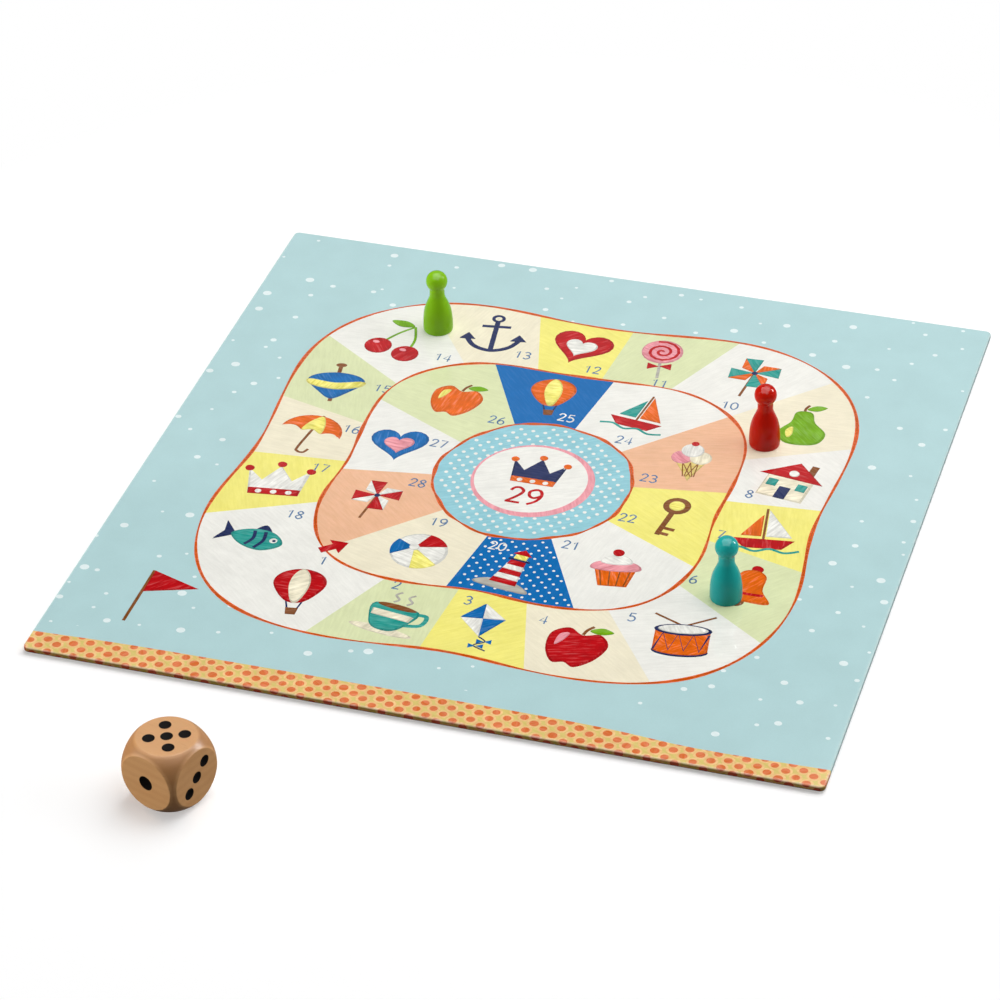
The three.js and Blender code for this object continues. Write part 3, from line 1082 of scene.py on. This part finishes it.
@dataclass(frozen=True)
class LobedRing:
    """A ring of numbered spaces between two rims."""

    spaces: tuple[Space, ...]
    inner: Rim
    outer: Rim
    picture: float
    first_number: int
    start: float = -0.75 * math.pi
    figure: float = 4.6
    figure_rise: float = 5.0
    figure_aside: float = 0.31
    picture_rise: float = 1.0
    tilt: float = 0.14
    ground_brush: float = 0.22
    dot_pitch: float = 4.2
    dot_radius: float = 0.55

    def shapes(self) -> list[Shape]:
        """Draw the spaces' grounds, then their pictures and their numbers.

        Returns:
            The ring's shapes, back to front
        """
        drawn = []
        step = TURN / len(self.spaces)
        starts = self.start + step * np.arange(len(self.spaces))
        for angle, space in zip(starts, self.spaces):
            sweep = np.linspace(angle, angle + step, 13)
            outline = np.vstack([self.outer.points(sweep), self.inner.points(sweep[::-1])])
            drawn.append(Shape(outline, space.ground, brush=self.ground_brush))
            drawn += polka(outline, self.dot_pitch, self.dot_radius) if space.dotted else []
        for count, (angle, space) in enumerate(zip(starts, self.spaces)):
            drawn += self.picture_shapes(count, angle + step / 2, step, space)
        return drawn

    def picture_shapes(self, count: int, angle: float, step: float, space: Space) -> list[Shape]:
        """Draw one space's picture, and its number by the inner rim where the space begins.

        Args:
            count: the space's place in the ring
            angle: middle angle of the space
            step: angle that the space takes up
            space: what it holds
        Returns:
            The picture's and the number's shapes
        """
        out = np.array([math.cos(angle), math.sin(angle)])
        across = np.array([-out[1], out[0]])
        near, far = (float(rim.radius(np.array([angle]))[0]) for rim in (self.inner, self.outer))
        picture = Picture(first=space.first, second=space.second)
        space.drawing(picture)
        middle = out * ((near + far) / 2 + self.picture_rise)
        pen = Ink.WHITE if space.ground == Ink.DEEP_BLUE else Ink.PEN
        spot = out * (near + self.figure_rise) - across * self.figure_aside * step * near
        number = Numerals().write(self.first_number + count, spot, self.figure, pen)
        return picture.placed(middle, self.picture, self.tilt * (-1) ** count) + number


@dataclass(frozen=True)
class RaceGamePrint:
    """The whole print: a pale ground strewn with white dots, a dotted strip along the front edge, two
    rings of numbered spaces and a home disc in the middle."""

    half: float
    strip_edge: tuple[Point, ...] = (
        (-165, 9.4), (-140, 9.4), (-89, 11.0), (46, 11.1), (95, 8.4), (140, 9.2), (165, 9.2)
    )
    dot_start: Point = (-1.73, 0.27)
    dot_step: Point = (3.93, -2.16)
    dot_rise: Point = (1.67, 4.11)
    dot_radius: float = 1.55
    dot_squash: float = 0.92
    dot_jitter: float = 0.14
    dot_sizes: Span = (0.88, 1.1)
    dot_reach: int = 90
    halo_radius: float = 2.42
    snow_pitch: float = 13.0
    snow_jitter: float = 0.42
    snow_sizes: Span = (0.65, 1.1)
    snow_gaps: float = 0.28
    snow_squash: float = 0.9
    bleed: float = 20.0
    cover: float = 6.0
    line: float = 1.2
    track_edge: Rim = Rim(116, 12)
    track_middle: Rim = Rim(76, 7)
    home_edge: Rim = Rim(36, 0)
    home_dots: Span = (4.6, 0.75)
    home_ring: float = 22.5
    home_plate: float = 20.6
    plate_shift: Point = (-0.9, 0.7)

    def strip_shapes(self, rng: np.random.Generator) -> list[Shape]:
        """Draw the front strip: a slanting lattice of dots with soft halos on ochre, over the edge and
        underneath. A dot's middle is a whole number of steps plus a whole number of rises.

        Args:
            rng: source of the dots' unevenness
        Returns:
            The strip's shapes, back to front
        """
        edge = smooth_path(self.strip_edge, closed=False) - (0, self.half)
        top, reach = edge[:, 1].max(), self.half + self.bleed
        band = np.vstack([[(-reach, -reach), (reach, -reach)], edge[::-1]])
        many = np.arange(-self.dot_reach, self.dot_reach + 1)
        steps, rises = (g.ravel()[:, None] for g in np.meshgrid(many, many))
        middle = steps * np.array(self.dot_step) + rises * np.array(self.dot_rise) + self.dot_start
        inside = (np.abs(middle[:, 0]) < reach) & (middle[:, 1] > -reach) & (middle[:, 1] < top + 1)
        middle = middle[inside]
        middle = middle + rng.normal(0, self.dot_jitter, middle.shape)
        size = rng.uniform(*self.dot_sizes, len(middle))
        drawn = [Shape(band, Ink.STRIP, brush=0.3)]
        for ink, radius in ((Ink.HALO, self.halo_radius), (Ink.STRIP_DOT, self.dot_radius)):
            for (x, y), r in zip(middle, radius * size):
                dot = round_outline(x, y, r, r * self.dot_squash, 12)
                drawn.append(Shape(dot, ink, brush=0.5))
        cover = np.vstack([edge, edge[::-1] + (0, self.cover)])
        return drawn + [Shape(cover, Ink.GROUND, brush=0.0)]

    def snow_shapes(self, rng: np.random.Generator) -> list[Shape]:
        """Strew pale dots: one near each point of a square lattice, with some left out.

        Args:
            rng: source of their places and sizes
        Returns:
            The dots
        """
        line = np.arange(-self.half - self.snow_pitch, self.half + self.snow_pitch, self.snow_pitch)
        spots = np.stack(np.meshgrid(line, line), -1).reshape(-1, 2)
        spots = spots + rng.uniform(-self.snow_jitter, self.snow_jitter, spots.shape) * self.snow_pitch
        least, more = self.snow_sizes
        size = least + more * rng.random(len(spots)) ** 2
        kept = rng.random(len(spots)) > self.snow_gaps
        drawn = []
        for (x, y), r in zip(spots[kept], size[kept]):
            drawn.append(Shape(round_outline(x, y, r, r * self.snow_squash, 12), Ink.SNOW, brush=0.15))
        return drawn

    def home_shapes(self) -> list[Shape]:
        """Draw the home disc: a crown over the last number on a pale disc, in a dotted sky.

        Returns:
            The disc's shapes, back to front
        """
        crown = Picture(first=Ink.NIGHT, second=Ink.ORANGE)
        crown.crown()
        last = 1 + len(OUTER_SPACES) + len(INNER_SPACES)
        edge = self.home_edge.points(np.arange(96) / 96 * TURN)
        drawn = [Shape(edge, Ink.SKY, brush=0.4)] + polka(edge, *self.home_dots)
        ring = round_outline(0, 0, self.home_ring, self.home_ring, 48)
        plate = round_outline(*self.plate_shift, self.home_plate, self.home_plate, 48)
        drawn += [Shape(ring, Ink.PINK, brush=0.5), Shape(plate, Ink.WHITE, brush=0.3)]
        drawn += crown.placed((0, 6.0), 11.5)
        return drawn + Numerals().write(last, (0, -10.0), 9.5, Ink.RED)

    def start_shapes(self) -> list[Shape]:
        """Draw a red pennant at the start and an arrow from the outer ring to the inner one.

        Returns:
            The pennant's and the arrow's shapes
        """
        pennant = Sketch()
        pennant.bar(Ink.BROWN, 0.08, (0, -1), (0, 1))
        pennant.fill(Ink.RED, (0.02, 1), (1.25, 0.58), (0.02, 0.16))
        arrow = Sketch()
        arrow.fill(Ink.RED, (-0.3, -1), (0.3, -1), (0.3, 0), (0.8, 0), (0, 1), (-0.8, 0), (-0.3, 0))
        return pennant.placed((-112, -102), 15) + arrow.placed((-56, -57), 5.5, -0.9)

    def shapes(self) -> list[Shape]:
        """Draw everything back to front.

        Returns:
            The print's shapes, the last on top
        """
        rng = np.random.default_rng(SEED)
        drawn = self.snow_shapes(rng) + self.strip_shapes(rng)
        outer = LobedRing(OUTER_SPACES, self.track_middle, self.track_edge, 13.2, 1)
        inner = LobedRing(INNER_SPACES, self.home_edge, self.track_middle, 12.0, 1 + len(OUTER_SPACES))
        drawn += outer.shapes() + inner.shapes() + self.home_shapes()
        for rim in (self.track_edge, self.track_middle, self.home_edge):
            drawn += [rim.crayon(self.line, 1.0), rim.crayon(self.line * 0.4, 0.72)]
        return drawn + self.start_shapes()


# Sub-assemblies


@dataclass
class Board:
    """The mounted board: a greyboard core, the printed wrap and the lining."""

    corner: float = 2.0
    bend: float = 0.6
    paper: float = 0.25
    turn_in: float = 15.0
    bend_steps: int = 6
    corner_steps: int = 6
    tongue: float = 0.85
    weld: float = 1e-4
    sliver: float = 1e-7
    # painted shade: lightness of the print down the edge, and a darker painted shadow in the crease under it
    wall_tone: float = 0.42
    crease_tone: float = 0.1
    side_share: float = 0.3
    tone_tilts: tuple[float, ...] = (-1.0, -0.97, -0.6, 0.0, 0.7)
    front_least: float = 0.1

    def __post_init__(self) -> None:
        """Take the wrap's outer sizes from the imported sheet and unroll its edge."""
        low, high = box_mm("cover_sheet")
        self.half = float(high[0])
        self.bottom, self.top = float(low[2]), float(high[2])
        self.core = self.half - self.corner
        self.arc = self.corner - self.bend
        self.quarter = self.bend * math.pi / 2
        self.wall = self.top - self.bottom - 2 * self.bend
        self.edge = 2 * self.quarter + self.wall
        self.flap = self.turn_in - self.bend

    def fold(self, flat: np.ndarray) -> tuple[np.ndarray, np.ndarray]:
        """Fold points of the flat sheet round the board.

        A point's distance past the flat top runs first round the upper bend, then down the wall, round
        the lower bend and back in underneath. The way out is the direction from the nearest point of
        a square inset by the corner radius, so the corners turn through a quarter circle.

        Args:
            flat: n by 2 points of the flat sheet
        Returns:
            n by 3 places on the sheet's outer face, and its outward directions
        """
        nearest = np.clip(flat, -self.core, self.core)
        away = flat - nearest
        reach = np.linalg.norm(away, axis=1)
        out = away / np.maximum(reach, 1e-9)[:, None]
        past = np.maximum(reach - self.arc, 0)
        upper = np.clip(past / self.bend, 0, math.pi / 2)
        lower = np.clip((past - self.quarter - self.wall) / self.bend, 0, math.pi / 2)
        turn = upper + lower
        under = np.maximum(past - self.edge, 0)
        outward = np.minimum(reach, self.arc) + self.bend * np.sin(turn) - under
        down = self.bend * (1 - np.cos(upper) + np.sin(lower)) + np.clip(past - self.quarter, 0, self.wall)
        place = np.column_stack([nearest + out * outward[:, None], self.top - down])
        normal = np.column_stack([out * np.sin(turn)[:, None], np.cos(turn)])
        return place, normal

    def rounded_square(self, reach: float) -> np.ndarray:
        """Give the outline at a reach from the inset square: a quarter circle about each of its corners.

        Args:
            reach: distance from the inset square
        Returns:
            The outline's points, anticlockwise
        """
        sweep = np.linspace(0, math.pi / 2, self.corner_steps + 1)
        arcs = []
        for quarter in range(4):
            angle = sweep + quarter * math.pi / 2
            between = angle[self.corner_steps // 2]
            middle = self.core * np.sign([math.cos(between), math.sin(between)])
            arcs.append(middle + reach * np.stack([np.cos(angle), np.sin(angle)], -1))
        return np.vstack(arcs)

    def sheet_outline(self) -> np.ndarray:
        """Give the flat sheet's cut edge: four flaps with slanting ends, and a tongue at each corner.

        Returns:
            The edge's points, anticlockwise
        """
        start = self.core + self.arc + self.edge
        end = start + self.flap
        tongue = self.arc + self.edge + self.tongue * self.arc
        sweep = np.linspace(-math.pi / 2, 0, self.corner_steps + 1)
        short = self.core - self.flap
        flap = np.array([(-self.core, -start), (-short, -end), (short, -end), (self.core, -start)])
        arc = np.array([self.core, -self.core]) + tongue * np.stack([np.cos(sweep), np.sin(sweep)], -1)
        side = np.vstack([flap, arc])
        turns = [Matrix.Rotation(q * math.pi / 2, 2) for q in range(4)]
        return np.vstack([side @ np.array(turn).T for turn in turns])

    def bend_lines(self) -> list[np.ndarray]:
        """Give the lines along which the sheet is creased to follow its bends.

        Returns:
            One closed line for each step of the two bends
        """
        upper = np.linspace(0, self.quarter, self.bend_steps + 1)
        past = np.concatenate([upper, upper + self.quarter + self.wall])
        return [self.rounded_square(self.arc + p) for p in past]

    def partition(self, shapes: list[Shape]) -> tuple[np.ndarray, np.ndarray, np.ndarray]:
        """Cut the flat sheet into triangles along every outline of the print and every bend.

        Args:
            shapes: the print, back to front
        Returns:
            Flat points, triangles, and for each triangle the place of its shape counted from 1, or 0
        """
        cut = self.sheet_outline()
        outlines = [cut] + self.bend_lines() + [s.outline for s in shapes]
        counts = np.array([len(o) for o in outlines])
        first = np.repeat(np.cumsum(counts) - counts, counts)
        within = np.arange(counts.sum()) - first
        following = first + (within + 1) % np.repeat(counts, counts)
        edges = np.column_stack([first + within, following])
        points = [Vector(p) for p in np.vstack(outlines).tolist()]
        found = delaunay_2d_cdt(points, edges.tolist(), [], 0, self.weld, False)
        flat, triangles = np.array([tuple(v) for v in found[0]]), np.array(found[2])
        a, b, c = (flat[triangles[:, i]] for i in range(3))
        area = (b - a)[:, 0] * (c - a)[:, 1] - (b - a)[:, 1] * (c - a)[:, 0]
        triangles[area < 0] = triangles[area < 0][:, ::-1]
        middle = (a + b + c) / 3
        kept = wound_around(middle, cut) & (np.abs(area) > self.sliver)
        triangles, middle = triangles[kept], middle[kept]
        owner = np.zeros(len(triangles), int)
        for number, shape in enumerate(shapes, 1):
            low, high = shape.outline.min(0), shape.outline.max(0)
            near = np.flatnonzero(((middle >= low) & (middle <= high)).all(1))
            owner[near[wound_around(middle[near], shape.outline)]] = number
        used, packed = np.unique(triangles, return_inverse=True)
        return flat[used], packed.reshape(triangles.shape), owner

    def build_cover(self) -> bpy.types.Object:
        """Build the printed wrap: the folded sheet, its back a paper thickness inside, and its cut edge.

        Returns:
            The wrap's object
        """
        shapes = RaceGamePrint(self.half).shapes()
        flat, triangles, owner = self.partition(shapes)
        outer, normal = self.fold(flat)
        count = len(flat)
        directed = triangles[:, [0, 1, 1, 2, 2, 0]].reshape(-1, 2)
        sides = np.sort(directed, axis=1)
        _, where, times = np.unique(sides, axis=0, return_index=True, return_counts=True)
        rim = directed[where[times == 1]]
        walls = np.column_stack([rim[:, 1], rim[:, 0], rim[:, 0] + count, rim[:, 1] + count])
        vertices = np.vstack([outer, outer - self.paper * normal])
        edge, depth = outer[rim[:, 0]] - outer[rim[:, 1]], -normal[rim[:, 0]]
        facing = np.cross(edge, depth)
        facing /= np.maximum(np.linalg.norm(facing, axis=1, keepdims=True), 1e-9)
        inside = triangles[:, ::-1]
        normals = np.vstack(
            [normal[triangles].reshape(-1, 3), -normal[inside].reshape(-1, 3), np.repeat(facing, 4, 0)]
        )
        faces = [triangles, inside + count, walls]
        piece = make_piece("cover_print", vertices, faces, LaminatedPrint().material(), normals)
        self.ink_faces(piece.data, shapes, owner, len(walls), self.shade(normal[triangles].mean(1)))
        # fold: strongest half way round the upper bend; it whitens the print there as rubbed ink and a
        # painted highlight line
        rise = np.clip(normal[:, 2], 0, 1)
        fold = piece.data.attributes.new("fold", "FLOAT", "POINT")
        fold.data.foreach_set("value", np.concatenate([2 * rise * np.sqrt(1 - rise**2), np.zeros(count)]))
        return piece

    def shade(self, facing: np.ndarray) -> np.ndarray:
        """Paint shade into the print down the edge and the darkest painted shadow in the crease under it,
        fully on the front edge only.

        Args:
            facing: each outer triangle's direction
        Returns:
            Each triangle's painted lightness
        """
        tones = (1.0, self.crease_tone, self.crease_tone, self.wall_tone, 1.0)
        lightness = np.interp(facing[:, 2], self.tone_tilts, tones)
        front = -facing[:, 1] > self.front_least * (abs(facing[:, 2]) + 1)
        return np.where(front, lightness, 1 - self.side_share * (1 - lightness))

    def ink_faces(
        self, mesh: bpy.types.Mesh, shapes: list[Shape], owner: np.ndarray, walls: int, shade: np.ndarray
    ) -> None:
        """Store inks, brush load and stroke direction on the face corners: the print outside, with shade
        painted into it down the edge, and bare paper inside and on the cut edge.

        Args:
            mesh: the wrap's mesh, outer triangles first, then inner ones, then cut edges
            shapes: the print, back to front
            owner: each outer triangle's shape counted from 1, or 0 for the bare ground
            walls: number of four-cornered cut edges
            shade: each outer triangle's painted lightness, less than 1 down the edge and in the crease under
                it, where shade is painted into the print
        """
        bare = 3 * len(owner) + 4 * walls
        colours = np.array([linear(Ink.GROUND.value)] + [linear(s.ink.value) for s in shapes])
        colours[1:, :3] *= np.array([[s.tone] for s in shapes])
        print_ = colours[owner]
        # painted shade: darken the print and deepen its colour down the edge and in the crease under it
        print_[:, :3] = print_[:, :3] ** (2 - shade[:, None]) * shade[:, None]
        corners = np.vstack([np.repeat(print_, 3, 0), np.tile(linear(Ink.WHITE.value), (bare, 1))])
        mesh.color_attributes.new("ink", "FLOAT_COLOR", "CORNER").data.foreach_set("color", corners.ravel())
        load = np.array([0.0] + [s.brush for s in shapes])
        stroke = np.random.default_rng(SEED).uniform(0, TURN, len(load))
        for name, values in (("load", load), ("stroke", stroke)):
            layer = mesh.attributes.new(name, "FLOAT", "CORNER")
            layer.data.foreach_set("value", np.concatenate([np.repeat(values[owner], 3), np.zeros(bare)]))

    def build(self) -> None:
        """Build the wrap and dress the core and the lining."""
        settle(self.build_cover(), "cover_sheet", "board")
        for node, finish in (("board_core", Greyboard()), ("back_lining", LiningPaper())):
            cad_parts[node].data.materials.clear()
            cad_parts[node].data.materials.append(finish.material())
            LOG.info("%s: packed solid, dressed as %s", node, finish.name)


@dataclass
class Pawn:
    """A turned skittle pawn: foot, swelling belly, drawn-in neck and ball head."""

    node: str
    body: str
    slot: str
    lacquer: GlossLacquer
    foot: float = 5.1
    belly: float = 5.7
    belly_height: float = 2.8
    foot_round: float = 0.7
    shoulder_rise: float = 8.4
    neck: float = 2.85
    neck_height: float = 15.6
    neck_sweep: float = 3.0
    head: float = 4.1
    fillet: float = 0.5
    foot_steps: int = 12
    body_steps: int = 28
    nape_steps: int = 6
    head_steps: int = 32
    sides: int = 96

    def profile(self, height: float) -> np.ndarray:
        """Give radius and height from the middle of the foot to the crown.

        Args:
            height: total height
        Returns:
            Points of the profile
        """
        centre = height - self.head
        collar = self.neck + self.fillet
        angle = -math.acos(collar / self.head)
        low = centre + self.head * math.sin(angle)
        sweep = np.linspace(angle, math.pi / 2, self.head_steps + 1)
        ball = np.stack([self.head * np.cos(sweep), centre + self.head * np.sin(sweep)], -1)
        ball[-1, 0] = 0
        knee = (self.belly, self.belly_height)
        waist = (self.neck, self.neck_height)
        curl = (self.belly, self.foot_round)
        base = cubic((self.foot, 0), (self.belly, 0), curl, knee, self.foot_steps)
        shoulder = (self.belly, self.belly_height + self.shoulder_rise)
        nipped = (collar, self.neck_height - self.neck_sweep)
        body = cubic(knee, shoulder, nipped, waist, self.body_steps)
        throat = (self.neck, low - self.fillet)
        nape = cubic(waist, throat, throat, (collar, low), self.nape_steps)
        under = np.array([(0.0, 0.0), (self.foot * 0.5, 0.0)])
        return np.vstack([under, base, body[1:], nape[1:], ball[1:]])

    def build(self) -> bpy.types.Object:
        """Turn the profile about the pawn's axis: radius times the angle's cosine and sine, and height.

        Returns:
            The pawn's object
        """
        low, high = box_mm(self.node)
        outline = self.profile(float(high[2] - low[2]))
        angle = np.arange(self.sides) / self.sides * TURN
        radius, rise = outline[1:-1, 0], outline[1:-1, 1]
        rings = np.stack(
            [
                radius[:, None] * np.cos(angle),
                radius[:, None] * np.sin(angle),
                np.broadcast_to(rise[:, None], (len(rise), self.sides)),
            ],
            -1,
        ).reshape(-1, 3)
        ends = np.array([(0, 0, outline[0, 1]), (0, 0, outline[-1, 1])])
        stand = np.array([*((low + high) / 2)[:2], low[2]])
        here = np.arange(self.sides)
        after = (here + 1) % self.sides
        start = np.arange(len(radius) - 1)[:, None] * self.sides
        quads = np.stack(
            [start + here, start + after, start + self.sides + after, start + self.sides + here], -1
        ).reshape(-1, 4)
        last = (len(radius) - 1) * self.sides
        foot = np.column_stack([after, here, np.full(self.sides, len(rings))])
        crown = np.column_stack([last + here, last + after, np.full(self.sides, len(rings) + 1)])
        vertices = np.vstack([rings, ends]) + stand
        piece = make_piece(self.node + "_turned", vertices, [quads, foot, crown], self.lacquer.material())
        settle(piece, self.node, self.body)
        return piece


@dataclass
class Die:
    """A beech die: a cube whose corners and edges a ball cuts off, with dished and painted pips."""

    ball: float = 15.5
    blend: float = 0.12
    pip: float = 2.1
    lone_pip: float = 2.7
    pip_depth: float = 0.45
    pip_offset: float = 4.15
    yaw_degrees: float = -19.2
    end_grain: float = 1.3
    flat_from: float = 8.0
    weld_digits: int = 4
    cells: int = 112

    FACES = (
        ((0, 0, 1), (1, 0, 0), 5),
        ((0, 0, -1), (1, 0, 0), 2),
        ((0, -1, 0), (1, 0, 0), 1),
        ((0, 1, 0), (1, 0, 0), 6),
        ((1, 0, 0), (0, 1, 0), 3),
        ((-1, 0, 0), (0, 1, 0), 4),
    )

    def spots(self, count: int) -> np.ndarray:
        """Give a face's pip places: the middle for odd counts, the diagonals, then the middle row.

        Args:
            count: number of pips
        Returns:
            Their places about the face's middle
        """
        d = self.pip_offset
        places = [(0.0, 0.0)] * (count % 2)
        places += [(d, d), (-d, -d)] * (count >= 2) + [(d, -d), (-d, d)] * (count >= 4)
        places += [(0.0, d), (0.0, -d)] * (count == 6)
        return np.array(places)

    def face_grid(self, half: float, out: tuple, across: tuple, count: int) -> tuple[np.ndarray, ...]:
        """Work out one face on a square grid of two parameters.

        A direction through the grid point meets the face's plane and the ball. The nearer of the two is
        taken, softened where they cross, and within a pip's radius the surface dips by the pip's
        depth times one less the square of the share of the radius.

        Args:
            half: half the die's edge
            out: the face's outward direction
            across: direction of its pip columns
            count: its number of pips
        Returns:
            Places about the die's middle, each one's distance from the nearest pip's middle as a
            share of the pip's radius, and how far it is round a corner, from 0 to 1
        """
        span = np.tan(np.linspace(-math.pi / 4, math.pi / 4, self.cells + 1))
        u, v = np.meshgrid(span, span, indexing="ij")
        ray = np.sqrt(1 + u**2 + v**2)
        plane, ball = half * ray, self.ball
        reach = 0.5 * (plane + ball - np.sqrt((plane - ball) ** 2 + 4 * self.blend**2))
        scale = (reach + self.blend * np.exp(-np.abs(plane - ball) / self.blend)) / ray
        scale = np.where(plane < ball - self.flat_from * self.blend, half, scale)
        a, b, height = u * scale, v * scale, scale.copy()
        spots = self.spots(count)
        radius = self.lone_pip if count == 1 else self.pip
        far = np.hypot(a[..., None] - spots[:, 0], b[..., None] - spots[:, 1]).min(-1) / radius
        height -= self.pip_depth * np.maximum(1 - far**2, 0)
        right, normal = np.array(across, float), np.array(out, float)
        up = np.cross(normal, right)
        place = a[..., None] * right + b[..., None] * up + height[..., None] * normal
        # painted shade: how far round a corner, which the finish darkens as shade
        turned = np.clip((plane - ball) / self.end_grain, 0, 1)
        return place.reshape(-1, 3), far.ravel(), turned.ravel()

    def build(self) -> bpy.types.Object:
        """Join the six faces along their shared edges, turn the die and stand it in its place.

        Returns:
            The die's object
        """
        low, high = box_mm("die")
        half = float(high[2] - low[2]) / 2
        grids = [self.face_grid(half, *face) for face in self.FACES]
        places = np.vstack([g[0] for g in grids])
        # the turned mark carries the painted shade on the rounded corners
        marks = {name: np.concatenate([g[k] for g in grids]) for k, name in ((1, "pip"), (2, "turned"))}
        side = self.cells + 1
        i, j = np.meshgrid(np.arange(self.cells), np.arange(self.cells), indexing="ij")
        corner = (i * side + j).ravel()
        quads = np.column_stack([corner, corner + side, corner + side + 1, corner + 1])
        faces = np.vstack([quads + k * side * side for k in range(6)])
        rounded = np.round(places, self.weld_digits)
        _, first, same = np.unique(rounded, axis=0, return_index=True, return_inverse=True)
        yaw = math.radians(self.yaw_degrees)
        middle = (low + high) / 2
        turned = places[first] @ np.array(Matrix.Rotation(yaw, 3, "Z")).T + middle
        finish = VarnishedBeech("beech_tumbled_varnished", tuple(middle * MM), yaw)
        piece = make_piece("die_beech", turned, [same.reshape(-1)[faces]], finish.material())
        for name, values in marks.items():
            layer = piece.data.attributes.new(name, "FLOAT", "POINT")
            layer.data.foreach_set("value", values[first])
        settle(piece, "die", "die")
        return piece


# The studio


class LampUse(Enum):
    """What a lamp does: light everything, fill without a shadow or a mirror image, or show only as a
    highlight on the small glossy pieces."""

    KEY = 1
    FILL = 2
    CARD = 3


class Softbox(Enum):
    """The studio's lamps: middle in millimetres, width, depth, light level and use."""

    OVERHEAD = ((300, 420, 1150), 1400, 1200, 2.5, LampUse.KEY)
    BACK = ((-200, 1300, 500), 1600, 800, 0.3, LampUse.KEY)
    LEFT = ((-1900, -850, 650), 1400, 1300, 8.5, LampUse.FILL)
    RIGHT = ((2000, 450, 650), 1400, 1300, 4.6, LampUse.FILL)
    LEFT_CARD = ((-1900, -850, 650), 1400, 1300, 3.4, LampUse.CARD)
    RIGHT_CARD = ((2000, 450, 650), 1400, 1300, 2.6, LampUse.CARD)
    TOP_CARD = ((0, -100, 1100), 1700, 1700, 6.0, LampUse.CARD)
    SPARK = ((900, 620, 480), 300, 300, 46.0, LampUse.CARD)


@dataclass
class Studio:
    """A plain pale floor, soft lamps and a camera at the photograph's viewing angle."""

    floor_half: float = 4000.0
    sink: float = 0.3
    azimuth: float = 17.8496
    elevation: float = 35.4546
    roll: float = -1.4803
    distance: float = 1368.46
    aim: tuple[float, float, float] = (-7.873, -14.592, 2.5)
    focal_pixels: float = 3826.18
    frame_pixels: float = 1000.0
    sensor: float = 36.0
    world_fill: float = 0.08
    world_seen: float = 1.0

    def build_floor(self) -> None:
        """Lay the floor: a flat square just under the board, pale and matt."""
        h = self.floor_half
        corners = np.array([(x, y, -self.sink) for x, y in ((-h, -h), (h, -h), (h, h), (-h, h))])
        floor = make_piece("studio_floor", corners, [np.arange(4)[None]], StudioFloor().material())

    def build_lamps(self) -> None:
        """Hang the softboxes, each turned to the middle of the board, and set the world's fill."""
        target = Vector(self.aim) * MM
        for box in Softbox:
            middle, width, depth, level, use = box.value
            lamp = bpy.data.lights.new(box.name.lower() + "_softbox", "AREA")
            lamp.shape = "RECTANGLE"
            lamp.size, lamp.size_y = width * MM, depth * MM
            lamp.energy = level * math.pi * lamp.size * lamp.size_y
            lamp.use_shadow = use is not LampUse.FILL
            holder = bpy.data.objects.new(lamp.name, lamp)
            holder.visible_glossy = use is not LampUse.FILL
            holder.visible_diffuse = use is not LampUse.CARD
            holder.location = Vector(middle) * MM
            holder.rotation_euler = (target - holder.location).to_track_quat("-Z", "Y").to_euler()
            bpy.context.scene.collection.objects.link(holder)
        world = bpy.data.worlds.new("studio_world")
        world.use_nodes = True
        tree = world.node_tree
        tree.nodes.clear()
        seen = add_node(tree, "LightPath").outputs["Is Camera Ray"]
        fill, white = (
            add_node(tree, "Background", {"Color": (1, 1, 1, 1), "Strength": strength}).outputs[0]
            for strength in (self.world_fill, self.world_seen)
        )
        mixed = add_node(tree, "MixShader", {0: seen, 1: fill, 2: white})
        add_node(tree, "OutputWorld", {"Surface": mixed.outputs[0]})
        bpy.context.scene.world = world

    def sparkle(self, pieces: list[bpy.types.Object]) -> None:
        """Let the cards tell only on the given pieces.

        Args:
            pieces: the small glossy pieces
        """
        lit = bpy.data.collections.new("sparkling")
        for piece in pieces:
            lit.objects.link(piece)
        for box in Softbox:
            if box.value[-1] is LampUse.CARD:
                bpy.data.objects[box.name.lower() + "_softbox"].light_linking.receiver_collection = lit

    def build_camera(self) -> None:
        """Set the camera at its azimuth and elevation about the aim, rolled as the photograph is."""
        a, e, r = (math.radians(v) for v in (self.azimuth, self.elevation, self.roll))
        back = Vector((math.sin(a) * math.cos(e), -math.cos(a) * math.cos(e), math.sin(e)))
        level = Vector((0, 0, 1)).cross(back).normalized()
        upright = back.cross(level)
        right = level * math.cos(r) + upright * math.sin(r)
        up = upright * math.cos(r) - level * math.sin(r)
        camera = bpy.data.objects.new("photo_camera", bpy.data.cameras.new("photo_camera"))
        camera.data.sensor_width = self.sensor
        camera.data.lens = self.focal_pixels / self.frame_pixels * self.sensor
        place = (Vector(self.aim) + back * self.distance) * MM
        turn = Matrix((right, up, back)).transposed().to_4x4()
        camera.matrix_world = Matrix.Translation(place) @ turn
        bpy.context.scene.collection.objects.link(camera)
        bpy.context.scene.camera = camera

    def build(self) -> None:
        """Build the floor, the lamps and the camera."""
        bpy.context.scene.view_settings.view_transform = "Standard"
        self.build_camera()
        self.build_floor()
        self.build_lamps()


def main() -> None:
    """Build the studio and every sub-assembly in order."""
    logging.basicConfig(level=logging.INFO, format="%(name)s: %(message)s")
    studio = Studio()
    studio.build()
    Board().build()
    small = []
    for colour, pigment in (("green", "#7DB516"), ("red", "#B81607"), ("turquoise", "#1B9C98")):
        lacquer = GlossLacquer(colour + "_lacquer_gloss", pigment)
        small.append(Pawn("pawn_" + colour, colour + "_pawn", colour + "_lacquer", lacquer).build())
    small.append(Die().build())
    studio.sparkle(small)


if __name__ == "__main__":
    main()
